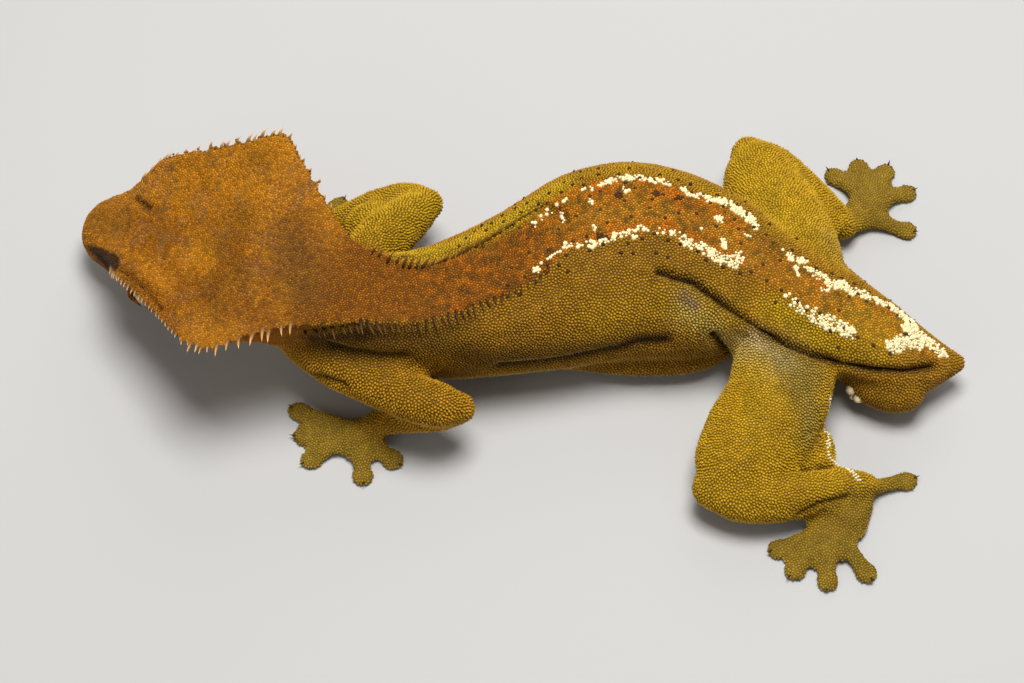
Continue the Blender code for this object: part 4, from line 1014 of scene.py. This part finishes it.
for name, (members, facing) in groups.items():
    chosen = np.isin(region_names, members.split()) & free & ~cream
    if facing:
        chosen &= (root_normal @ HEAD_UP > 0.2) == (facing > 0)
    rows = np.flatnonzero(chosen)
    rows = rows[np.argsort(roots[rows, 0])]
    for number, share in enumerate(np.array_split(rows, math.ceil(len(rows) / MOST_IN_A_PIECE)), 1):
        piece = f"{name}_{number}"
        coat[piece] = copies(piece, SCALE, roots[share], root_normal[share], root_lie[share], root_width[share],
                             root_height[share], root_paint[share], gaps=root_gap_shade[share])
    print(name, len(rows), "scales in", number, "pieces")

# %% The cream scales
chosen = cream & free
grow = 0.85 + 0.95 * draw.random(int(chosen.sum())) ** 1.5
coat["scales_cream"] = copies(
    "scales_cream", CREAM_SCALE, roots[chosen], root_normal[chosen], root_lie[chosen],
    root_pitch[chosen] * grow, root_pitch[chosen] * 0.55 * grow,
    PAINTS["cream"] * (0.8 + 0.22 * draw.random((int(chosen.sum()), 1))), gaps=0.5)
print("cream scales:", int(chosen.sum()))

# %% The larger plates along the lips, and the rims of the eyes
LABIAL = grown("labial", 8, ((0.50, -0.40, 0.0), (0.46, 0.40, 0.0)), (0.85, 0.0))
LABIAL_STEP, LABIAL_OUT, LABIAL_WIDE, LABIAL_LONG, LABIAL_HIGH = 0.95, 0.46, 0.74, 1.3, 0.22
labial_places, labial_normals, labial_lies = [], [], []
for line in mouth_lines:
    count = round(np.linalg.norm(np.diff(line, axis=0), axis=1).sum() / LABIAL_STEP)
    path = even(line, count)
    for spot, lie in zip(path, np.gradient(path, axis=0)):
        for rise in (-1, 1):
            place, normal, _, _ = skin_tree.find_nearest(Vector(spot + rise * LABIAL_OUT * HEAD_UP))
            labial_places.append(np.array(place))
            labial_normals.append(np.array(normal))
            labial_lies.append(lie)
RIM_SCALES, RIM_RADIUS, RIM_WIDE = 40, 3.35, 0.4
for side in (1, -1):
    for turn in np.arange(RIM_SCALES) * 2.0 * math.pi / RIM_SCALES:
        spoke = math.cos(turn) * HEAD_FORWARD + math.sin(turn) * HEAD_UP
        spot = eye_middles[side] + RIM_RADIUS * spoke + LID_OUT * side * HEAD_LEFT
        place, normal, _, _ = skin_tree.find_nearest(Vector(spot))
        labial_places.append(np.array(place))
        labial_normals.append(np.array(normal))
        labial_lies.append(np.cross(spoke, HEAD_LEFT))
labial_places, labial_normals, labial_lies = map(np.array, (labial_places, labial_normals, labial_lies))
count = len(labial_places)
labial_paint = skin_paint[under_root(labial_places + 0.8 * labial_normals)] * (0.9 + 0.3 * draw.random((count, 1)))
labial_paint = 0.5 * labial_paint + 0.5 * PAINTS["bark"]
labial_widths = np.full(count, LABIAL_WIDE)
labial_widths[-2 * RIM_SCALES:] = RIM_WIDE
coat["labials"] = copies("labials", LABIAL, labial_places, labial_normals, labial_lies, labial_widths,
                         np.full(count, LABIAL_HIGH), labial_paint, stretch=LABIAL_LONG, gaps=0.7)
print("plates on lips and eye rims:", count)

# %% [markdown]
# ## Spines
# The crest's two edges carry one row of spines each, from the brow over the corner of the head and
# down the neck, where they shrink to nothing. The rows give points of the edge and the way that
# its spines lean. A spine is a ring drawn out and bent back, and its root sits in the skin.

# %% The rows, in the order of the walk: share of the way, length and spacing there
HEAD_SPINES = {
    1: ((0.055, 0.75, 0.5), (0.1, 0.8, 0.5), (0.16, 0.65, 0.65), (0.28, 0.55, 0.7), (0.33, 0.4, 0.75), (0.6, 0.4, 0.8),
        (0.63, 1.2, 0.9), (0.67, 0.7, 1.1), (0.72, 1.1, 1.3), (0.85, 1.3, 1.3), (1.0, 1.35, 1.3)),
    -1: ((0.0, 0.9, 0.6), (0.12, 0.85, 0.7), (0.18, 0.4, 1.1), (0.28, 0.35, 1.2), (0.33, 0.9, 1.3), (0.5, 0.8, 1.2),
         (0.56, 1.0, 1.4), (0.62, 0.8, 1.3), (0.68, 0.3, 1.2), (0.9, 0.35, 1.2), (1.0, 0.5, 1.1)),
}
NECK_SPINES = {
    1: ((0.0, 1.7, 1.15), (0.12, 2.0, 1.0), (0.3, 1.8, 0.9), (0.5, 1.4, 0.85), (0.85, 0.95, 0.8), (1.0, 0.6, 0.9)),
    -1: ((0.0, 1.0, 1.0), (0.15, 1.3, 0.9), (0.6, 1.3, 0.85), (0.85, 0.9, 0.9), (1.0, 0.5, 1.1)),
}
HOOD_ROWS = {1: 3, -1: 4}
NECK_ROWS = {
    1: trace((304, 331), (330, 327), (360, 323), (390, 324), (416, 324), (442, 318), (463, 312), (492, 299),
             (515, 291), (540, 278), (550, 263)),
    -1: trace((371, 252), (388, 261), (410, 266), (432, 266), (453, 259), (480, 245), (507, 228), (535, 210),
              (552, 200)),
}
NECK_LEAN = {1: (0.15, -0.95, 0.15), -1: (0.40, 0.70, 0.60)}
SPINE = grown("spine", 8, ((0.50, -0.25, 0.0), (0.42, 0.12, 0.0), (0.27, 0.42, 0.10), (0.13, 0.74, 0.3)), (1.0, 0.5))


# The neck rows take umber, the spines' own dark colour. The near row takes more of it as painted shade under the
# crest's edge.
HEAD_TONE, NECK_TONE = 0.5, {1: 0.87, -1: 0.72}


def walk(path, sizes):
    """Places along a line as far apart as the sizes say: the columns of the line, then a length."""
    walked = np.concatenate([[0.0], np.cumsum(np.linalg.norm(np.diff(path[:, :3], axis=0), axis=1))])
    shares, lengths, gaps = np.array(sizes).T
    spot, found = shares[0] * walked[-1] + 0.15, []
    while spot < walked[-1]:
        share = spot / walked[-1]
        found.append([np.interp(spot, walked, column) for column in path.T] + [np.interp(share, shares, lengths)])
        spot += np.interp(share, shares, gaps) * draw.uniform(0.8, 1.2)
    return np.array(found)


spine_places, spine_leans, spine_backs, spine_lengths, spine_tones, spine_shares = [], [], [], [], [], []
for side in (1, -1):
    head_rows = crest_edge(side)[:HEAD_ROWS + HOOD_ROWS[side]]
    lean = np.tile(unit(NECK_LEAN[side]), (len(NECK_ROWS[side]), 1))
    neck_rows = np.column_stack([NECK_ROWS[side], lean])
    for rows, sizes, tone, share in ((head_rows, HEAD_SPINES[side], "tan", HEAD_TONE),
                                     (neck_rows, NECK_SPINES[side], "umber", NECK_TONE[side])):
        for row in walk(rows, sizes):
            root, normal, _, _ = skin_tree.find_nearest(Vector(row[:3]))
            spine_places.append(np.array(root))
            spine_leans.append(unit(row[3:6] + 0.12 * draw.standard_normal(3)))
            spine_backs.append((1.0, 0.0, -0.3))
            spine_lengths.append(row[6] * draw.uniform(0.75, 1.15) + COAT_DEPTH)
            spine_tones.append(PAINTS[tone])
            spine_shares.append(share)
print("spines:", len(spine_places))

# %% The spur beside the vent, and the mesh of them all
SPUR_SCALES = (((40.2, -5.6, 4.2), 1.5), ((40.9, -6.6, 3.4), 1.35), ((40.0, -6.4, 2.9), 1.1))
SPUR_AIM, SPUR_BACK, SPUR_LONG = (0.25, -0.85, 0.45), (0.3, 0.0, -1.0), 0.65
spine_widths = [0.22 + 0.2 * length for length in spine_lengths]
spine_paint = [(1.0 - share) * skin_paint[under_root([place])[0]] + share * tone
               for place, tone, share in zip(spine_places, spine_tones, spine_shares)]
spines = copies("crest_spines", SPINE, *map(np.array, (spine_places, spine_leans, spine_backs, spine_widths,
                                                       spine_lengths, spine_paint)))
spur_places = np.array([skin_tree.find_nearest(Vector(place))[0] for place, _ in SPUR_SCALES])
count = len(spur_places)
spur = copies("spur", CREAM_SCALE, spur_places, np.tile(SPUR_AIM, (count, 1)), np.tile(SPUR_BACK, (count, 1)),
              np.array([width for _, width in SPUR_SCALES]), np.full(count, SPUR_LONG),
              np.tile(PAINTS["cream"], (count, 1)))
print("spines:", len(spine_places), "spur scales:", count)

# %% [markdown]
# ## Claws and toe pads
# Each toe ends in a small hooked claw above its pad, and the pad's underside is crossed by thin
# plates that grip. The claws are drawn-out rings like the spines, smoother and darker.

# %% One claw for each toe
CLAW = grown("claw", 8, ((0.5, -0.3, 0.0), (0.42, 0.2, 0.0), (0.26, 0.55, 0.12), (0.1, 0.85, 0.4)), (1.0, 0.62))
CLAW_LONG, CLAW_WIDE = 0.7, 0.3
claw_places, claw_aims = [], []
for toes in TOES.values():
    for toe_root, toe_tip in toes:
        ahead = unit(np.array((*toe_tip, 0.0)) - np.array((*toe_root, 0.0)))
        root = skin_tree.find_nearest(Vector(np.array((*toe_tip, 1.25)) + 0.1 * ahead))[0]
        claw_places.append(np.array(root))
        claw_aims.append(unit(ahead + np.array((0.0, 0.0, 0.8))))
claw_places, claw_aims = np.array(claw_places), np.array(claw_aims)
down = np.tile((0.0, 0.0, -1.0), (len(claw_places), 1))
claws = copies("claws", CLAW, claw_places, claw_aims, down, np.full(len(claw_places), CLAW_WIDE),
               np.full(len(claw_places), CLAW_LONG), np.tile(PAINTS["umber"] * 2.0, (len(claw_places), 1)))
print("claws:", len(claw_places))

# %% The plates under the toe pads
PLATE = grown("plate", 8, ((0.5, -0.5, 0.0), (0.5, 0.6, 0.0)), (1.0, 0.0))
PLATES_A_TOE, PLATE_GAP, PLATE_WIDE, PLATE_THICK = 8, 0.27, 2.1, 0.16
plate_places, plate_lies = [], []
for toes in TOES.values():
    for toe_root, toe_tip in toes:
        ahead = unit(np.array((*toe_tip, 0.0)) - np.array((*toe_root, 0.0)))
        for step in range(PLATES_A_TOE):
            plate_places.append(np.array((*toe_tip, 0.16)) - (0.35 + PLATE_GAP * step) * ahead)
            plate_lies.append(ahead)
plate_places, plate_lies = np.array(plate_places), np.array(plate_lies)
plates = copies("toe_plates", PLATE, plate_places, np.tile((0.0, 0.0, -1.0), (len(plate_places), 1)), plate_lies,
                np.full(len(plate_places), PLATE_WIDE), np.full(len(plate_places), PLATE_THICK),
                np.tile(PAINTS["pearl"], (len(plate_places), 1)), stretch=0.1)
print("plates:", len(plate_places))

# %% [markdown]
# ## Eyes
# A gecko has no lids that close. A clear scale covers a large wet ball with a grey-gold iris and an
# upright slit of a pupil with wavy edges. The ball is a fine sphere whose pole looks outwards, and
# each corner keeps its place in the eye's own frame, so that the iris can be drawn round it.

# %% The two balls
eyes = {}
for side, name in ((1, "eye_left"), (-1, "eye_right")):
    outward = HEAD_LEFT * side
    only()
    bpy.ops.mesh.primitive_uv_sphere_add(segments=64, ring_count=40, radius=EYE_RADIUS * MM,
                                         location=eye_middles[side] * MM,
                                         rotation=Vector(outward).to_track_quat("Z", "Y").to_euler())
    ball = bpy.context.object
    ball.name = f"ball_{name}"
    bpy.ops.object.transform_apply(location=True, rotation=True, scale=True)
    bpy.ops.object.shade_smooth()
    around = (points_of(ball.data) - eye_middles[side]) / EYE_RADIUS
    gaze = np.column_stack([around @ HEAD_FORWARD, around @ HEAD_UP, around @ outward])
    layer = ball.data.attributes.new("gaze", "FLOAT_VECTOR", "POINT")
    layer.data.foreach_set("vector", gaze.astype(np.float32).ravel())
    eyes[name] = ball
    print(ball.name, len(ball.data.polygons), "faces")

# %% [markdown]
# ## Materials
# The paint on each corner gives the pattern. Nodes add what paint alone lacks: fine mottling, painted
# shade at the foot of each scale and a painted highlight on its top, grain in the surface and a satin shine that
# varies.

# %% Helpers for nodes
def material_with(name, roughness, **sockets):
    """A Principled material with its plain numbers set on the shader itself."""
    material = bpy.data.materials.new(name)
    material.use_nodes = True
    shader = material.node_tree.nodes["Principled BSDF"]
    shader.inputs["Roughness"].default_value = roughness
    for key, value in sockets.items():
        shader.inputs[key.replace("_", " ")].default_value = value
    return material, material.node_tree, shader


def node(tree, kind, **settings):
    made = tree.nodes.new(kind)
    for key, value in settings.items():
        if key in made.inputs:
            made.inputs[key].default_value = value
        else:
            setattr(made, key, value)
    return made


def math_node(tree, operation, first, second=0.0, third=0.0):
    made = tree.nodes.new("ShaderNodeMath")
    made.operation = operation
    for socket, value in zip(made.inputs, (first, second, third)):
        if isinstance(value, bpy.types.NodeSocket):
            tree.links.new(value, socket)
        else:
            socket.default_value = value
    return made.outputs[0]


def ranged(tree, value, low, high, to_low, to_high):
    made = node(tree, "ShaderNodeMapRange")
    tree.links.new(value, made.inputs["Value"])
    for name, number in (("From Min", low), ("From Max", high), ("To Min", to_low), ("To Max", to_high)):
        made.inputs[name].default_value = number
    return made.outputs["Result"]


def times(tree, colour, factor):
    """A colour made lighter or darker by a number."""
    made = node(tree, "ShaderNodeVectorMath", operation="SCALE")
    tree.links.new(colour, made.inputs[0])
    tree.links.new(factor, made.inputs["Scale"])
    return made.outputs[0]


print("node helpers ready")


# %% Skin and scales
def hide_material(name, foot, crown, roughness, grain_depth):
    """Painted hide: `foot` and `crown` set the painted shade at a scale's foot and the painted highlight on its top."""
    material, tree, shader = material_with(name, roughness, Specular_IOR_Level=0.14)
    paint = node(tree, "ShaderNodeAttribute", attribute_name="paint").outputs["Color"]
    lift = node(tree, "ShaderNodeAttribute", attribute_name="lift").outputs["Fac"]
    place = node(tree, "ShaderNodeTexCoord").outputs["Object"]
    mottle = node(tree, "ShaderNodeTexNoise", Scale=1400.0, Detail=3.0)
    tree.links.new(place, mottle.inputs["Vector"])
    bright = math_node(tree, "MULTIPLY", ranged(tree, lift, 0.0, 0.8, foot, crown),
                       ranged(tree, mottle.outputs["Fac"], 0.3, 0.7, 0.86, 1.12))
    tree.links.new(times(tree, paint, bright), shader.inputs["Base Color"])
    fine_grain = node(tree, "ShaderNodeTexNoise", Scale=9000.0, Detail=2.0)
    tree.links.new(place, fine_grain.inputs["Vector"])
    bump = node(tree, "ShaderNodeBump", Strength=0.5, Distance=grain_depth * MM)
    tree.links.new(fine_grain.outputs["Fac"], bump.inputs["Height"])
    tree.links.new(bump.outputs["Normal"], shader.inputs["Normal"])
    tree.links.new(ranged(tree, mottle.outputs["Fac"], 0.3, 0.7, roughness - 0.07, roughness + 0.09),
                   shader.inputs["Roughness"])
    return material


skin_material = hide_material("gecko_skin", 0.30, 1.1, 0.72, 0.03)
scale_material = hide_material("gecko_scales", 0.28, 1.12, 0.55, 0.02)
# The spines' pale tips are partly their own tan colour and partly painted highlight.
spine_material = hide_material("gecko_spines", 0.4, 1.9, 0.5, 0.02)
claw_material = hide_material("claw_horn", 0.8, 1.2, 0.35, 0.01)
print("hide materials made")

# %% The eye
eye_material, tree, shader = material_with("gecko_eye", 0.3, Coat_Weight=0.7, Coat_Roughness=0.03)
gaze = node(tree, "ShaderNodeAttribute", attribute_name="gaze").outputs["Vector"]
parts = node(tree, "ShaderNodeSeparateXYZ")
tree.links.new(gaze, parts.inputs[0])
ahead, high = parts.outputs["X"], parts.outputs["Y"]
streaks = node(tree, "ShaderNodeTexNoise", Scale=7.0, Detail=5.0, Roughness=0.7)
tree.links.new(gaze, streaks.inputs["Vector"])
wave = math_node(tree, "MULTIPLY", math_node(tree, "SINE", math_node(tree, "MULTIPLY", high, 28.0)), 0.02)
slit_room = math_node(tree, "SUBTRACT", 0.135, math_node(tree, "MULTIPLY", math_node(tree, "POWER", math_node(tree, "ABSOLUTE", high), 2.0), 0.36))
slit = math_node(tree, "SUBTRACT", math_node(tree, "ADD", math_node(tree, "ABSOLUTE", ahead), wave), slit_room)
from_middle = math_node(tree, "SQRT", math_node(tree, "ADD", math_node(tree, "POWER", ahead, 2.0), math_node(tree, "POWER", high, 2.0)))
iris = node(tree, "ShaderNodeValToRGB")
iris.color_ramp.elements[0].position, iris.color_ramp.elements[0].color = 0.36, (0.05, 0.022, 0.007, 1.0)
iris.color_ramp.elements[1].position, iris.color_ramp.elements[1].color = 0.66, (0.36, 0.20, 0.055, 1.0)
tree.links.new(streaks.outputs["Fac"], iris.inputs["Fac"])
shade = math_node(tree, "MULTIPLY", ranged(tree, slit, 0.0, 0.02, 0.01, 1.0), ranged(tree, from_middle, 0.78, 0.9, 1.0, 0.12))
tree.links.new(times(tree, iris.outputs["Color"], shade), shader.inputs["Base Color"])
print("eye material made")

# %% Hand out the materials
# The skin between the scales is darkened by its painted shade.
add_paint(skin.data, skin_paint, 1.0 - skin_gap_shade)


def finish_piece(obj, material, slot, *nodes):
    """Material, body and the nodes that this piece stands for, which are hidden; `slot` is not used."""
    obj.data.materials.clear()
    obj.data.materials.append(material)
    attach(obj, "root")
    if nodes:
        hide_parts(*nodes)


finish_piece(skin, skin_material, "skin", *FLESH)
for piece in coat.values():
    finish_piece(piece, scale_material, "skin")
finish_piece(spines, spine_material, "skin")
finish_piece(spur, scale_material, "skin")
finish_piece(claws, claw_material, "skin")
finish_piece(plates, skin_material, "skin")
for name, ball in eyes.items():
    finish_piece(ball, eye_material, "eye", name)

# %% [markdown]
# ## The studio
# A plain pale floor and a few large soft lamps, one high and behind to model the back and leave the
# lower flanks in soft shade, as a museum would light it.

# %% Floor and lights
only()
bpy.ops.mesh.primitive_plane_add(size=2.4, location=(0.0, 0.0, -0.00002))
floor = bpy.context.object
floor.name = "floor"
floor_material, tree, shader = material_with("pale_floor", 0.8)
shader.inputs["Base Color"].default_value = (0.50, 0.49, 0.475, 1.0)
floor.data.materials.append(floor_material)
floor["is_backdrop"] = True
LAMPS = (
    ("key", (0.03, 0.04, 0.45), 0.20, 2.5),
    ("fill", (-0.35, -0.35, 0.25), 0.4, 0.4),
    ("back", (0.10, 0.45, 0.30), 0.4, 0.6),
)
for name, place, size, power in LAMPS:
    aim = Vector((0.0, 0.0, 0.01)) - Vector(place)
    bpy.ops.object.light_add(type="AREA", location=place, rotation=aim.to_track_quat("-Z", "Y").to_euler())
    lamp = bpy.context.object
    lamp.name = name
    lamp.data.size = size
    lamp.data.energy = power
world = bpy.data.worlds.new("studio")
bpy.context.scene.world = world
world.use_nodes = True
world.node_tree.nodes["Background"].inputs["Color"].default_value = (0.9, 0.92, 0.95, 1.0)
world.node_tree.nodes["Background"].inputs["Strength"].default_value = 0.2
bpy.context.scene.view_settings.view_transform = "Standard"
print("lamps:", len(LAMPS))

# %% [markdown]
# ## Sizes and the end
# The box of the dressed model is measured, and set beside the box of the solids. The dressed
# model may not outgrow its solids.

# %% Measure the boxes and finish
low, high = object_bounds()
sizes = {"cad": [list(cad_low), list(cad_high)], "visual": [list(low), list(high)]}
print("visual box in mm:", [round(side / MM, 1) for side in high - low])
